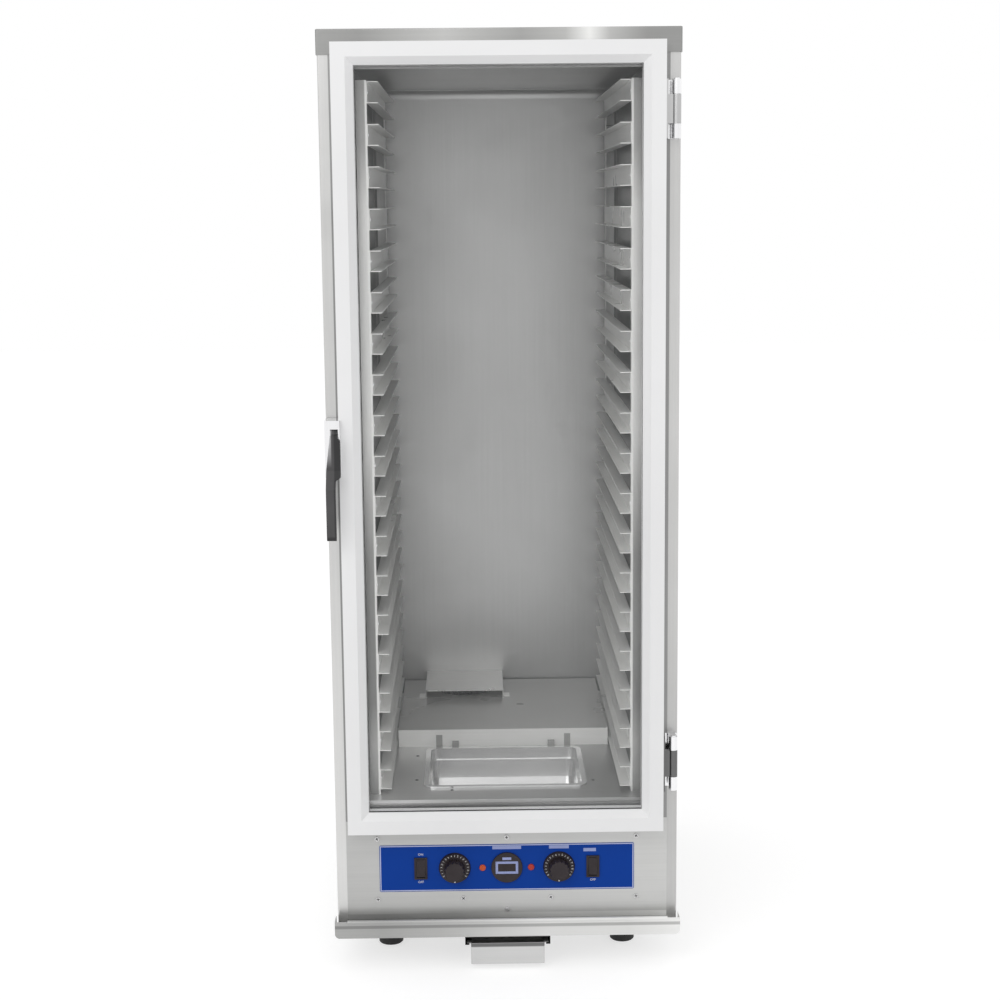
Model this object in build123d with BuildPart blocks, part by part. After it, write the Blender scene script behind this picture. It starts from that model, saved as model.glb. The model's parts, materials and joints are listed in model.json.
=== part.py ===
from build123d import *
import os

# Heated holding cabinet, in millimetres: X to the right, Y to the back, Z up from the floor it stands on.
# The origin is the centre of the floor area that the whole cabinet covers.

# Overall sizes
cabinet_width = 652
cabinet_depth = 815
cabinet_height = 1694
foot_height = 66
door_stand = 42
latch_reach = 44
rear_reach = 12

# Sheet metal and clearances
sheet = 1.5
liner_sheet = 1.0
bend = 3.0
gap = 0.3
running_gap = 0.06
facing_flange = 19.3
through_cut = 6

# Walls of the heated space
side_wall = 57.5
rear_wall = 44
top_wall = 64
floor_level = 261
opening_lip = 6.5
cove_radius = 18
cove_flange = 24
panel_top_level = 222
panel_bottom_level = 36

# Top cap
cap_proud = 2
cap_skirt = 45
cap_edge = 2

# Pan slides and the frames that carry them
slide_pitch = 76.2
slide_height = 39
slide_depth = 21
slide_sheet = 1.5
first_slide_lift = 10
slide_top_room = 12
rack_standoff = 27
rack_front_inset = 45
rack_rear_room = 30
rack_top_rise = 2
upright_flange = 20
rivet_head = 3.5
rivet_shank = 1.9
rivet_rise = 1.2
stud_radius = 4
stud_collar_radius = 9
stud_collar = 3

# Floor, air duct and blower
duct_height = 36
duct_front = 356
duct_slot = 8
duct_side_gap = 1.5
duct_tab_width = 13
duct_tab_height = 25
duct_tab_spread = 134
pan_clip_width = 14
pan_clip_height = 12
pan_clip_reach = 9
pan_clip_spread = 100
hood_width = 173
hood_depth = 172
hood_height = 19
hood_centre = -82
hood_tab = 14
inlet_radius = 58
wheel_radius = 62
wheel_height = 24
wheel_lift = 6
wheel_blades = 16
blade_root_radius = 36
blade_sweep = 22
blade_curve = 30
eye_radius = 48
hub_radius = 14
motor_radius = 44
motor_height = 88
motor_bore = 19.5
shaft_radius = 5
shaft_rise = 30
shaft_drop = 18
element_radius = 4
element_pitch = 50
element_bend = 20
element_leg_bend = 9
element_runs = 4
element_lift = 14
element_offset = 30
element_inset = 50
element_leg = 30

# Water pan
pan_width = 320
pan_length = 264
pan_rim = 9
pan_depth = 62
pan_ledge = 25
pan_ledge_step = 4
pan_front = 74
pan_sheet = 1.0
pan_draft = 4
pan_corner = 18
pan_rise = 4
pan_lift_gap = 2

# Door
door_left_margin = 26
door_right_margin = 30
door_bottom_drop = 51.5
door_top_drop = 25.5
door_thickness = 36
door_frame_width = 40
door_bevel = 14
door_bevel_drop = 12
door_wall = 2
window_sheet = 5
window_bite = 11
glazing_wall = 1
seal_inset = 24
seal_width = 9

# Hinges
hinge_height = 104
hinge_upper_drop = 120.5
hinge_lower_rise = 128.5
hinge_axis_out = 26
hinge_axis_side = 10.5
barrel_radius = 8
pin_radius = 3.5
knuckle_gap = 0.4
hinge_plate = 3
hinge_plate_width = 22
end_knuckle = 26
pin_cap_radius = 5
pin_cap = 2
hinge_screw_spread = 14

# Latch
latch_top_level = 998
latch_height = 104
latch_width = 25
latch_overlap = 4
latch_depth = 48
lever_pivot_drop = 26
lever_pivot_back = 6
lever_head_radius = 10
lever_tip_level = 782
lever_shoulder_level = 896
lever_thickness = 12
trunnion_radius = 3
magnet_width = 17
magnet_height = 54
magnet_length = 13
magnet_level = 928
magnet_travel = 5
magnet_edge = 1
strike_plate = 3
strike_corner = 2
lever_neck = 4
lever_shoulder_drop = 20
lever_tip_edge = 3
trunnion_reach = 2
head_inset_left = 11
grip_inset = 3
grip_width = 17.4

# Control panel
fascia_width = 488
fascia_height = 92.6
fascia_sheet = 0.8
fascia_corner = 3
control_level = 127
switch_spacing = 165
knob_spacing = 100
lamp_spacing = 46.5
switch_bezel_width = 25
switch_bezel_height = 43
switch_bezel_rise = 2.5
switch_body_width = 21
switch_body_height = 38
switch_body_depth = 26
rocker_width = 16
rocker_height = 33
rocker_room = 1.8
rocker_pivot_back = 5
rocker_pivot_radius = 1.5
rocker_pivot_reach = 1.5
rocker_tilt = 8
rocker_rise = 3.2
rocker_valley = 1.1
rocker_edge_back = 1
rocker_belly = 4
rocker_room_back = 8.5
skirt_radius = 30.5
skirt_height = 5
grip_radius = 20.5
grip_height = 20
grip_flutes = 14
flute_radius = 2.4
flute_out = 0.8
knob_gap = 0.4
knob_recess_gap = 2
spindle_seat = 10
spindle_radius = 3
bushing_radius = 5
bushing_hole_gap = 0.3
bushing_rise = 3
spindle_bite = 12
skirt_slope = 20
grip_slope = 6
panel_return = 12
regulator_width = 46
regulator_height = 52
regulator_depth = 34
gauge_radius = 30
gauge_rise = 4
gauge_edge = 1.5
gauge_body_radius = 26
gauge_body_depth = 28
gauge_window_width = 44.6
gauge_window_height = 26
gauge_window_recess = 1.6
gauge_glass = 1.2
lamp_radius = 6.2
lamp_rise = 3
lamp_body_radius = 5
lamp_body_depth = 26

# Screws
screw_head_radius = 4.5
screw_head_rise = 2.2
upper_screw_level = 187
lower_screw_level = 66
centre_screw_level = 43
outer_screw_spacing = 248
inner_screw_spacing = 84

# Drip gutter
gutter_reach = 32
gutter_width = 660
gutter_wall = 30
gutter_floor = 10
gutter_lip_radius = 4.5
gutter_lip_level = 30.5
gutter_end_width = 24
gutter_hem = 12
gutter_corner = 9
gutter_end_height = 33

# Drip tray and its holder
holder_width = 163
holder_height = 16
holder_depth = 172
holder_sheet = 1.5
holder_lip = 8
tray_width = 141
tray_depth = 160
tray_drop = 41
tray_rim = 7.5

# Base, feet and rear
base_flange = 34
foot_radius = 24
foot_edge = 2
foot_rim_height = 13
foot_waist_radius = 19
foot_waist_low = 22
foot_waist_high = 44
foot_collar_radius = 21
foot_collar_low = 53
foot_stud_bite = 33
foot_spread_x = 230
foot_inset_y = 115
foot_stud_radius = 5
foot_nut_radius = 9
foot_nut_height = 8
vent_width = 420
vent_height = 150
vent_level = 110
vent_overlap = 13.5
louvre_length = 150
louvre_height = 8
louvre_pitch = 22
louvre_rows = 5
louvre_rise = 5
louvre_gap = 15
louvre_shift = 30
cover_screw_inset = 8
drain_radius = 4
gland_radius = 14
gland_hole_radius = 9
gland_bore_radius = 5
gland_edge = 2
gland_nut = 3
gland_offset = 165
terminal_width = 70
terminal_depth = 24
terminal_height = 22
terminal_ways = 5
terminal_well_radius = 3.5
terminal_well_depth = 11

# Places worked out from the sizes above
total_depth = door_stand + latch_reach + cabinet_depth + rear_reach
face = door_stand + latch_reach - total_depth / 2
back = face + cabinet_depth
half_width = cabinet_width / 2
base = foot_height
top = base + cabinet_height
skin_top = top - sheet
facing_edge = half_width - facing_flange
skin_inside = half_width - sheet
cavity_half = half_width - side_wall
cavity_back = back - rear_wall
floor = base + floor_level
ceiling = top - top_wall
opening_half = cavity_half - opening_lip
opening_bottom = floor - opening_lip
opening_top = ceiling - opening_lip
panel_top = base + panel_top_level
panel_bottom = base + panel_bottom_level
rack_front = face + rack_front_inset
rack_rear = cavity_back - rack_rear_room
web_outside = cavity_half - rack_standoff
slide_tip = web_outside - slide_depth
first_slide = floor + first_slide_lift
slide_count = 1 + int((ceiling - slide_top_room - slide_height - first_slide) / slide_pitch)
slide_levels = [first_slide + number * slide_pitch for number in range(slide_count)]
rack_top = slide_levels[-1] + slide_height + rack_top_rise
duct_half = slide_tip - duct_side_gap
duct_start = face + duct_front
duct_end = cavity_back - duct_slot
duct_top = floor + duct_height
hood_back = cavity_back
hood_front = hood_back - hood_depth
blower_y = (hood_front + hood_back) / 2
element_x = [element_offset + number * element_pitch for number in range(element_runs)]
element_front = duct_start + element_inset
element_rear = duct_end - element_inset
pan_y = face + pan_front + pan_length / 2
well_half_x = pan_width / 2 - pan_rim + pan_lift_gap
well_half_y = pan_length / 2 - pan_rim + pan_lift_gap
well_bottom = floor + pan_rise - pan_depth - pan_lift_gap
door_left = -half_width + door_left_margin
door_right = half_width - door_right_margin
door_bottom = floor - door_bottom_drop
door_top = top - door_top_drop
door_front = face - door_stand
door_back = door_front + door_thickness
window_front = door_front + door_bevel_drop + door_wall + glazing_wall
hinge_x = half_width - hinge_axis_side
hinge_y = face - hinge_axis_out
hinge_levels = (door_bottom + hinge_lower_rise, door_top - hinge_upper_drop)
plate_right = half_width - sheet
plate_left = plate_right - hinge_plate_width
latch_left = -half_width + 1
latch_right = latch_left + latch_width
latch_back = face - strike_plate - gap - (door_stand - door_thickness) / 2
latch_front = latch_back - latch_depth
latch_top = base + latch_top_level
latch_bottom = latch_top - latch_height
lever_pivot_y = latch_front + lever_pivot_back
lever_pivot_z = latch_top - lever_pivot_drop
head_left = latch_left + head_inset_left
lever_right = door_left + latch_overlap
head_right = door_left - gap
grip_left = latch_left + grip_inset
grip_right = grip_left + grip_width
magnet_x = (latch_left + door_left) / 2
magnet_back = face - strike_plate - gap
magnet_low = base + magnet_level - magnet_height / 2
magnet_high = magnet_low + magnet_height
control_z = base + control_level
fascia_front = face - fascia_sheet
rocker_y = face + rocker_pivot_back
gutter_front = face - gutter_reach
holder_front = gutter_front


def cuboid(low, high, mode=Mode.ADD):
    """Add the box between two opposite corners to the piece that is being built."""
    size = [far - near for near, far in zip(low, high)]
    centre = tuple((far + near) / 2 for near, far in zip(low, high))
    with Locations(centre):
        Box(*size, mode=mode)


def rod(centre, radius, length, axis, mode=Mode.ADD):
    """Add a cylinder of the given length, centred on a point and lying along an axis."""
    turns = {"x": (0, 90, 0), "y": (90, 0, 0), "z": (0, 0, 0)}
    with Locations(Location(centre, turns[axis])):
        Cylinder(radius, length, mode=mode)


def finish(part, name):
    """Label a finished piece and write it to its own file."""
    part.label = name
    export_step(part, f"parts/{name}.step")


def side_skin(side):
    """Outer side sheet, folded in at the front as the facing and at the back as a flange."""
    edge = side * facing_edge
    outside = side * half_width
    with BuildPart() as skin:
        cuboid((min(edge, outside), face, base), (max(edge, outside), back, skin_top))
        corners = skin.edges().filter_by(Axis.Z).group_by(Axis.X)
        fillet(corners[-1 if side > 0 else 0], bend)
        inner_face = skin.faces().filter_by(Axis.X).sort_by(Axis.X)[0 if side > 0 else -1]
        ends = skin.faces().filter_by(Axis.Z)
        offset(amount=-sheet, openings=[inner_face] + list(ends))
    return skin.part


def rear_skin():
    """Flat rear sheet behind the insulation, with the service opening and the cord hole below."""
    with BuildPart() as skin:
        half = skin_inside - bend
        cuboid((-half, back - 2 * sheet, base + base_flange), (half, back - sheet, skin_top))
        half_opening = vent_width / 2 - vent_overlap
        half_rise = vent_height / 2 - vent_overlap
        cuboid(
            (-half_opening, back - 2 * sheet, base + vent_level - half_rise),
            (half_opening, back - sheet, base + vent_level + half_rise),
            mode=Mode.SUBTRACT,
        )
    return skin.part


def cap():
    """Shallow lid over the top, folded down on all four sides."""
    with BuildPart() as lid:
        proud = cap_proud
        cuboid(
            (-half_width - proud, face - proud, top - cap_skirt),
            (half_width + proud, back + proud, top),
        )
        fillet(lid.edges().filter_by(Axis.Z), bend)
        fillet(lid.faces().sort_by(Axis.Z)[-1].edges(), cap_edge)
        offset(amount=-sheet, openings=lid.faces().sort_by(Axis.Z)[0])
    return lid.part


def door_surround():
    """Front sheet around the mouth of the heated space, with a short jamb folded inwards."""
    with BuildPart() as surround:
        with BuildSketch(Plane.XZ.offset(-face)):
            with Locations((0, (panel_top + skin_top) / 2)):
                Rectangle(2 * facing_edge, skin_top - panel_top)
            with Locations((0, (opening_bottom + opening_top) / 2)):
                Rectangle(2 * opening_half, opening_top - opening_bottom, mode=Mode.SUBTRACT)
        extrude(amount=-sheet)
        with BuildSketch(Plane.XZ.offset(-face)):
            with Locations((0, (opening_bottom + opening_top) / 2)):
                Rectangle(2 * (opening_half + sheet), opening_top - opening_bottom + 2 * sheet)
                Rectangle(2 * opening_half, opening_top - opening_bottom, mode=Mode.SUBTRACT)
        extrude(amount=-opening_lip)
    return surround.part


def base_tray():
    """Bottom pan with folded-up sides and holes for the foot studs."""
    with BuildPart() as pan:
        cuboid(
            (-skin_inside, face + sheet, base),
            (skin_inside, back - sheet, base + base_flange),
        )
        fillet(pan.edges().filter_by(Axis.Z), bend)
        offset(amount=-sheet, openings=pan.faces().sort_by(Axis.Z)[-1])
        with BuildSketch(Plane.XY.offset(base)):
            with Locations((0, (face + back) / 2)):
                with GridLocations(2 * foot_spread_x, cabinet_depth - 2 * foot_inset_y, 2, 2):
                    Circle(foot_stud_radius + gap)
        extrude(amount=sheet, mode=Mode.SUBTRACT)
    return pan.part


def liner_wall(side):
    """Inner side sheet of the heated space."""
    inside = side * cavity_half
    outside = side * (cavity_half + liner_sheet)
    with BuildPart() as wall:
        cuboid(
            (min(inside, outside), face + sheet, floor - sheet),
            (max(inside, outside), cavity_back + liner_sheet, ceiling + liner_sheet),
        )
    return wall.part


def liner_rear():
    """Inner rear sheet of the heated space, with coved corners and a flange at its sides and top."""
    with BuildPart() as wall:
        cuboid(
            (-cavity_half, cavity_back - cove_flange, floor),
            (cavity_half, cavity_back + liner_sheet, ceiling),
        )
        upright_corners = wall.edges().filter_by(Axis.Z).group_by(Axis.Y)[-1]
        top_corners = wall.edges().group_by(Axis.Z)[-1].filter_by(Axis.X).group_by(Axis.Y)[-1]
        side_corners = wall.edges().group_by(Axis.Z)[-1].filter_by(Axis.Y)
        fillet(upright_corners + top_corners + side_corners, cove_radius + liner_sheet)
        front = wall.faces().filter_by(Axis.Y).sort_by(Axis.Y)[0]
        underside = wall.faces().filter_by(Axis.Z).sort_by(Axis.Z)[0]
        offset(amount=-liner_sheet, openings=[front, underside])
    return wall.part


def liner_top():
    """Inner ceiling sheet of the heated space."""
    with BuildPart() as sheet_above:
        cuboid(
            (-cavity_half, face + sheet, ceiling),
            (cavity_half, cavity_back + liner_sheet, ceiling + liner_sheet),
        )
    return sheet_above.part


def heated_floor():
    """Floor sheet with a pressed well for the water pan and holes for the blower and heater."""
    with BuildPart() as plate:
        front = face + opening_lip
        cuboid((-cavity_half, front, floor - sheet), (cavity_half, cavity_back, floor))
        cuboid((-cavity_half, front, opening_bottom - sheet), (cavity_half, front + sheet, floor))
        cuboid(
            (-well_half_x - sheet, pan_y - well_half_y - sheet, well_bottom - sheet),
            (well_half_x + sheet, pan_y + well_half_y + sheet, floor),
        )
        cuboid(
            (-well_half_x, pan_y - well_half_y, well_bottom),
            (well_half_x, pan_y + well_half_y, floor),
            mode=Mode.SUBTRACT,
        )
        rod((hood_centre, blower_y, floor), shaft_radius + sheet, through_cut, "z", Mode.SUBTRACT)
        for x in (element_x[0], element_x[-1]):
            rod((x, element_front, floor), element_radius + gap, through_cut, "z", Mode.SUBTRACT)
    return plate.part


def air_duct():
    """Low cover over the blower and heater, open at the back, with pan stops and clips on its front."""
    with BuildPart() as duct:
        cuboid((-duct_half, duct_start, floor), (duct_half, duct_end, duct_top))
        rear = duct.faces().sort_by(Axis.Y)[-1]
        underside = duct.faces().sort_by(Axis.Z)[0]
        offset(amount=-sheet, openings=[rear, underside])
        rod((hood_centre, blower_y, duct_top), inlet_radius, through_cut, "z", Mode.SUBTRACT)
        for side in (-1, 1):
            x = side * duct_tab_spread
            cuboid(
                (x - duct_tab_width / 2, duct_start - sheet, floor + gap),
                (x + duct_tab_width / 2, duct_start, floor + duct_tab_height),
            )
            clip_x = side * pan_clip_spread
            clip_left = clip_x - pan_clip_width / 2
            clip_right = clip_x + pan_clip_width / 2
            clip_top = floor + pan_clip_height
            clip_front = duct_start - pan_clip_reach
            cuboid((clip_left, clip_front, clip_top - sheet), (clip_right, duct_start, clip_top))
            cuboid((clip_left, clip_front, floor + gap), (clip_right, clip_front + sheet, clip_top))
    return duct.part


def inlet_hood():
    """Flat hood over the blower inlet, open to the front, held by a tab on each side."""
    left_edge = hood_centre - hood_width / 2
    right_edge = hood_centre + hood_width / 2
    hood_top = duct_top + hood_height
    with BuildPart() as hood:
        cuboid((left_edge, hood_front, duct_top), (right_edge, hood_back, hood_top))
        front = hood.faces().sort_by(Axis.Y)[0]
        underside = hood.faces().sort_by(Axis.Z)[0]
        offset(amount=-sheet, openings=[front, underside])
        for edge, way in ((left_edge, -1), (right_edge, 1)):
            tab = edge + way * hood_tab
            cuboid(
                (min(edge, tab), hood_front + hood_tab, duct_top),
                (max(edge, tab), hood_front + 3 * hood_tab, duct_top + sheet),
            )
    return hood.part


def blower_rotor():
    """Centrifugal wheel with curved blades, on the shaft that comes up from the motor."""
    disc = Plane((hood_centre, blower_y, floor + wheel_lift))
    tip_radius = wheel_radius - sheet
    with BuildPart() as wheel:
        with BuildSketch(disc):
            Circle(wheel_radius)
        extrude(amount=sheet)
        with BuildSketch(disc.offset(wheel_height - sheet)):
            Circle(wheel_radius)
            Circle(eye_radius, mode=Mode.SUBTRACT)
        extrude(amount=sheet)
        with BuildSketch(disc):
            with BuildLine():
                for number in range(wheel_blades):
                    turn = number * 360 / wheel_blades
                    root = Vector(blade_root_radius, 0).rotate(Axis.Z, turn)
                    tip = Vector(tip_radius, 0).rotate(Axis.Z, turn - blade_sweep)
                    RadiusArc(root, tip, blade_curve)
            trace(line_width=sheet)
        extrude(amount=wheel_height)
        with BuildSketch(disc):
            Circle(hub_radius)
        extrude(amount=wheel_height - 2 * sheet)
        middle = floor + (shaft_rise - shaft_drop) / 2
        rod((hood_centre, blower_y, middle), shaft_radius, shaft_rise + shaft_drop, "z")
    return wheel.part


def fan_motor():
    """Motor hung below the floor, with a bore in which the wheel's shaft turns."""
    flange = Plane((hood_centre, blower_y, floor - sheet))
    with BuildPart() as motor:
        with BuildSketch(flange):
            Circle(motor_radius + bend)
        extrude(amount=-bend)
        with BuildSketch(flange):
            Circle(motor_radius)
        extrude(amount=-motor_height)
        fillet(motor.faces().sort_by(Axis.Z)[0].edges(), bend)
        with BuildSketch(flange):
            Circle(shaft_radius + running_gap)
        extrude(amount=-motor_bore, mode=Mode.SUBTRACT)
    return motor.part


def element_along(points, radii, flange_centres=()):
    """Metal-sheathed heating element bent along the points, with round fixing flanges on the floor."""
    with BuildPart() as element:
        with BuildLine() as route:
            FilletPolyline(*points, radius=radii)
        with BuildSketch(Plane(origin=route.line @ 0, z_dir=route.line % 0)):
            Circle(element_radius)
        sweep()
        for x, y in flange_centres:
            rod((x, y, floor + sheet / 2), 2 * element_radius, sheet, "z")
    return element.part


def duct_heater():
    """Element that warms the air in the duct; its two legs pass down through the floor."""
    height = floor + element_lift
    points = [(element_x[0], element_front, floor - element_leg)]
    for number, x in enumerate(element_x):
        near, far = (element_front, element_rear) if number % 2 == 0 else (element_rear, element_front)
        points.append((x, near, height))
        points.append((x, far, height))
    points.append((element_x[-1], element_front, floor - element_leg))
    radii = [element_leg_bend] + [element_bend] * (len(points) - 4) + [element_leg_bend]
    flanges = [(element_x[0], element_front), (element_x[-1], element_front)]
    return element_along(points, radii, flanges)


def pan_heater():
    """Flat element under the well of the water pan."""
    height = well_bottom - sheet - element_radius
    half_run = well_half_y - element_bend
    first_x = -element_pitch * (element_runs - 1) / 2
    points = []
    for number in range(element_runs):
        x = first_x + number * element_pitch
        way = 1 if number % 2 else -1
        points.append((x, pan_y + way * half_run, height))
        points.append((x, pan_y - way * half_run, height))
    return element_along(points, [element_bend] * (len(points) - 2))


def insulation_slabs():
    """Insulation between the skins and the liner: two sides, the back and the top."""
    with BuildPart() as slabs:
        low = panel_top + base_flange
        for side in (-1, 1):
            inner = side * (cavity_half + liner_sheet)
            outer = side * skin_inside
            cuboid(
                (min(inner, outer), face + bend, low),
                (max(inner, outer), back - 2 * sheet, skin_top - sheet),
            )
        half = cavity_half + liner_sheet - gap
        cuboid((-half, cavity_back + liner_sheet, low), (half, back - 2 * sheet, skin_top - sheet))
        cuboid(
            (-half, face + bend, ceiling + liner_sheet),
            (half, cavity_back + liner_sheet - gap, skin_top - sheet),
        )
    return slabs.part


def uprights(side):
    """Front and rear angles of one rack, each with a flange turned towards the wall."""
    inside = side * web_outside
    outside = side * (web_outside + slide_sheet)
    flange = side * (web_outside + upright_flange)
    with BuildPart() as angles:
        for end, way in ((rack_front, 1), (rack_rear, -1)):
            leg = end + way * upright_flange
            cuboid(
                (min(inside, outside), min(end, leg), floor),
                (max(inside, outside), max(end, leg), rack_top),
            )
            turned = end + way * slide_sheet
            cuboid(
                (min(inside, flange), min(end, turned), floor),
                (max(inside, flange), max(end, turned), rack_top),
            )
            hole_y = end + way * upright_flange / 2
            for level in slide_levels:
                height = level + slide_height / 2
                rod((inside, hole_y, height), rivet_shank, through_cut, "x", Mode.SUBTRACT)
    return angles.part


def slides(side):
    """Channel-shaped pan slides of one rack, open towards the middle of the cabinet."""
    centre_x = side * (web_outside - slide_depth / 2)
    with BuildPart() as rails:
        with BuildSketch(Plane.XZ.offset(-rack_front)):
            with Locations([(centre_x, level + slide_height / 2) for level in slide_levels]):
                Rectangle(slide_depth, slide_height)
            inner_x = centre_x - side * slide_sheet
            with Locations([(inner_x, level + slide_height / 2) for level in slide_levels]):
                Rectangle(slide_depth, slide_height - 2 * slide_sheet, mode=Mode.SUBTRACT)
        extrude(amount=-(rack_rear - rack_front))
        for level in slide_levels:
            for hole_y in (rack_front + upright_flange / 2, rack_rear - upright_flange / 2):
                place = (side * web_outside, hole_y, level + slide_height / 2)
                rod(place, rivet_shank, through_cut, "x", Mode.SUBTRACT)
    return rails.part


def rivets():
    """Rivets that hold each end of every slide to its upright."""
    shank = 2 * slide_sheet + rivet_rise
    with BuildPart() as group:
        for side in (-1, 1):
            head_x = side * (web_outside - slide_sheet - rivet_rise / 2)
            shank_x = side * (web_outside - slide_sheet + shank / 2)
            for level in slide_levels:
                for y in (rack_front + upright_flange / 2, rack_rear - upright_flange / 2):
                    rod((head_x, y, level + slide_height / 2), rivet_head, rivet_rise, "x")
                    rod((shank_x, y, level + slide_height / 2), rivet_shank - running_gap, shank, "x")
    return group.part


def rack_studs():
    """Collared studs that hold the racks off the side walls."""
    levels = [slide_levels[index] + (slide_pitch + slide_height) / 2 for index in (0, slide_count - 2)]
    length = cavity_half - web_outside - slide_sheet
    with BuildPart() as studs:
        for side in (-1, 1):
            stud_x = side * (cavity_half - length / 2)
            collar_x = side * (cavity_half - stud_collar / 2)
            for y in (rack_front + upright_flange / 2, rack_rear - upright_flange / 2):
                for level in levels:
                    rod((stud_x, y, level), stud_radius, length, "x")
                    rod((collar_x, y, level), stud_collar_radius, stud_collar, "x")
    return studs.part


def pan_body(inset, mode=Mode.ADD):
    """Add or cut the drawn body of the water pan, a given distance inside its outer surface."""
    rim_top = floor + pan_rise
    shoulder = rim_top - pan_ledge + inset
    width = pan_width - 2 * pan_rim - 2 * inset
    length = pan_length - 2 * pan_rim - 2 * inset
    step = 2 * pan_ledge_step
    with BuildSketch(Plane.XY.offset(shoulder)) as upper:
        with Locations((0, pan_y)):
            RectangleRounded(width, length, pan_corner - inset)
    extrude(upper.sketch, amount=rim_top - shoulder, mode=mode)
    with BuildSketch(Plane.XY.offset(shoulder)) as lower:
        with Locations((0, pan_y)):
            RectangleRounded(width - step, length - step, pan_corner - inset)
    extrude(lower.sketch, amount=pan_ledge - pan_depth, taper=pan_draft, mode=mode)


def water_pan():
    """Drawn water pan with a rolled rim, a shoulder below it and sloping sides."""
    rim_top = floor + pan_rise
    rim_corner = pan_corner + pan_rim / 2
    with BuildPart() as pan:
        pan_body(0)
        with BuildSketch(Plane.XY.offset(rim_top)):
            with Locations((0, pan_y)):
                RectangleRounded(pan_width, pan_length, rim_corner)
        extrude(amount=-pan_sheet)
        with BuildSketch(Plane.XY.offset(rim_top)):
            with Locations((0, pan_y)):
                RectangleRounded(pan_width, pan_length, rim_corner)
                hem_width = pan_width - 2 * pan_sheet
                hem_length = pan_length - 2 * pan_sheet
                RectangleRounded(hem_width, hem_length, rim_corner - pan_sheet, mode=Mode.SUBTRACT)
        extrude(amount=gap - pan_rise)
        pan_body(pan_sheet, Mode.SUBTRACT)
    return pan.part


def door_profile(plane):
    """Cross-section of the door frame; the plane's X runs inwards from the door's edge, its Y backwards."""
    slot_front = door_bevel_drop + door_wall
    slot_back = slot_front + 2 * glazing_wall + window_sheet
    slot_depth = window_bite + glazing_wall
    with BuildSketch(plane) as profile:
        with BuildLine():
            Polyline(
                (0, 0),
                (door_frame_width - door_bevel, 0),
                (door_frame_width, door_bevel_drop),
                (door_frame_width, slot_front),
                (door_frame_width - slot_depth, slot_front),
                (door_frame_width - slot_depth, slot_back),
                (door_frame_width, slot_back),
                (door_frame_width, door_thickness),
                (0, door_thickness),
                close=True,
            )
        make_face()
        with BuildLine():
            Polyline(
                (door_wall, door_wall),
                (door_frame_width - door_bevel - door_wall, door_wall),
                (door_frame_width - slot_depth - door_wall, door_thickness - door_wall),
                (door_wall, door_thickness - door_wall),
                close=True,
            )
        make_face(mode=Mode.SUBTRACT)
    return profile.sketch


def door_member(corner, along, inward, length):
    """One mitred, hollow member of the door frame, starting at an outer corner of the door."""
    section_plane = Plane(origin=corner, x_dir=inward, z_dir=along)
    section = door_profile(section_plane)
    origin = Vector(*corner)
    direction = Vector(*along)
    into_door = Vector(*inward)
    far_corner = origin + direction * length
    with BuildPart() as member:
        extrude(section, amount=length)
        start_mitre = Plane(origin=origin, z_dir=direction - into_door)
        end_mitre = Plane(origin=far_corner, z_dir=-direction - into_door)
        split(bisect_by=start_mitre, keep=Keep.TOP)
        split(bisect_by=end_mitre, keep=Keep.TOP)
    return member.part


def door_ring(inset_outside, inset_inside, front_y, depth):
    """Rectangular ring inside the door's outline, between two distances from its edge."""
    width = door_right - door_left
    height = door_top - door_bottom
    centre = ((door_left + door_right) / 2, (door_bottom + door_top) / 2)
    with BuildPart() as ring:
        with BuildSketch(Plane.XZ.offset(-front_y)):
            with Locations(centre):
                Rectangle(width - 2 * inset_outside, height - 2 * inset_outside)
                if inset_inside is not None:
                    Rectangle(width - 2 * inset_inside, height - 2 * inset_inside, mode=Mode.SUBTRACT)
        extrude(amount=-depth)
    return ring.part


def window():
    """Clear sheet held in the slot of the door frame."""
    inset = door_frame_width - window_bite
    return door_ring(inset, None, window_front, window_sheet)


def glazing_gasket():
    """U-shaped gasket between the clear sheet and the slot of the door frame."""
    slot_depth = window_bite + glazing_wall
    thickness = window_sheet + 2 * glazing_wall
    outer = door_frame_width - slot_depth
    ring = door_ring(outer, door_frame_width, window_front - glazing_wall, thickness)
    pane = window()
    with BuildPart() as gasket:
        add(ring)
        add(pane, mode=Mode.SUBTRACT)
    return gasket.part


def door_seal():
    """Soft seal on the back of the door, with a groove along it, meeting the face of the cabinet."""
    depth = face - gap - door_back
    groove = seal_width / 3
    strip = door_ring(seal_inset, seal_inset + seal_width, door_back, depth)
    hollow = door_ring(seal_inset + groove, seal_inset + 2 * groove, door_back + depth / 2, depth / 2)
    with BuildPart() as seal:
        add(strip)
        add(hollow, mode=Mode.SUBTRACT)
    return seal.part


def hinge_frame_leaves():
    """Leaves fixed to the cabinet's facing, each with an upper and a lower knuckle."""
    with BuildPart() as leaves:
        for level in hinge_levels:
            low = level - hinge_height / 2
            high = level + hinge_height / 2
            cuboid((plate_left, face - hinge_plate, low), (plate_right, face, high))
            for start, end in ((low, low + end_knuckle), (high - end_knuckle, high)):
                middle = (start + end) / 2
                rod((hinge_x, hinge_y, middle), barrel_radius, end - start, "z")
                half_web = barrel_radius - pin_cap
                cuboid((hinge_x - half_web, hinge_y, start), (hinge_x + half_web, face, end))
            rod((hinge_x, hinge_y, level), pin_radius + running_gap, 2 * hinge_height, "z", Mode.SUBTRACT)
    return leaves.part


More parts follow.
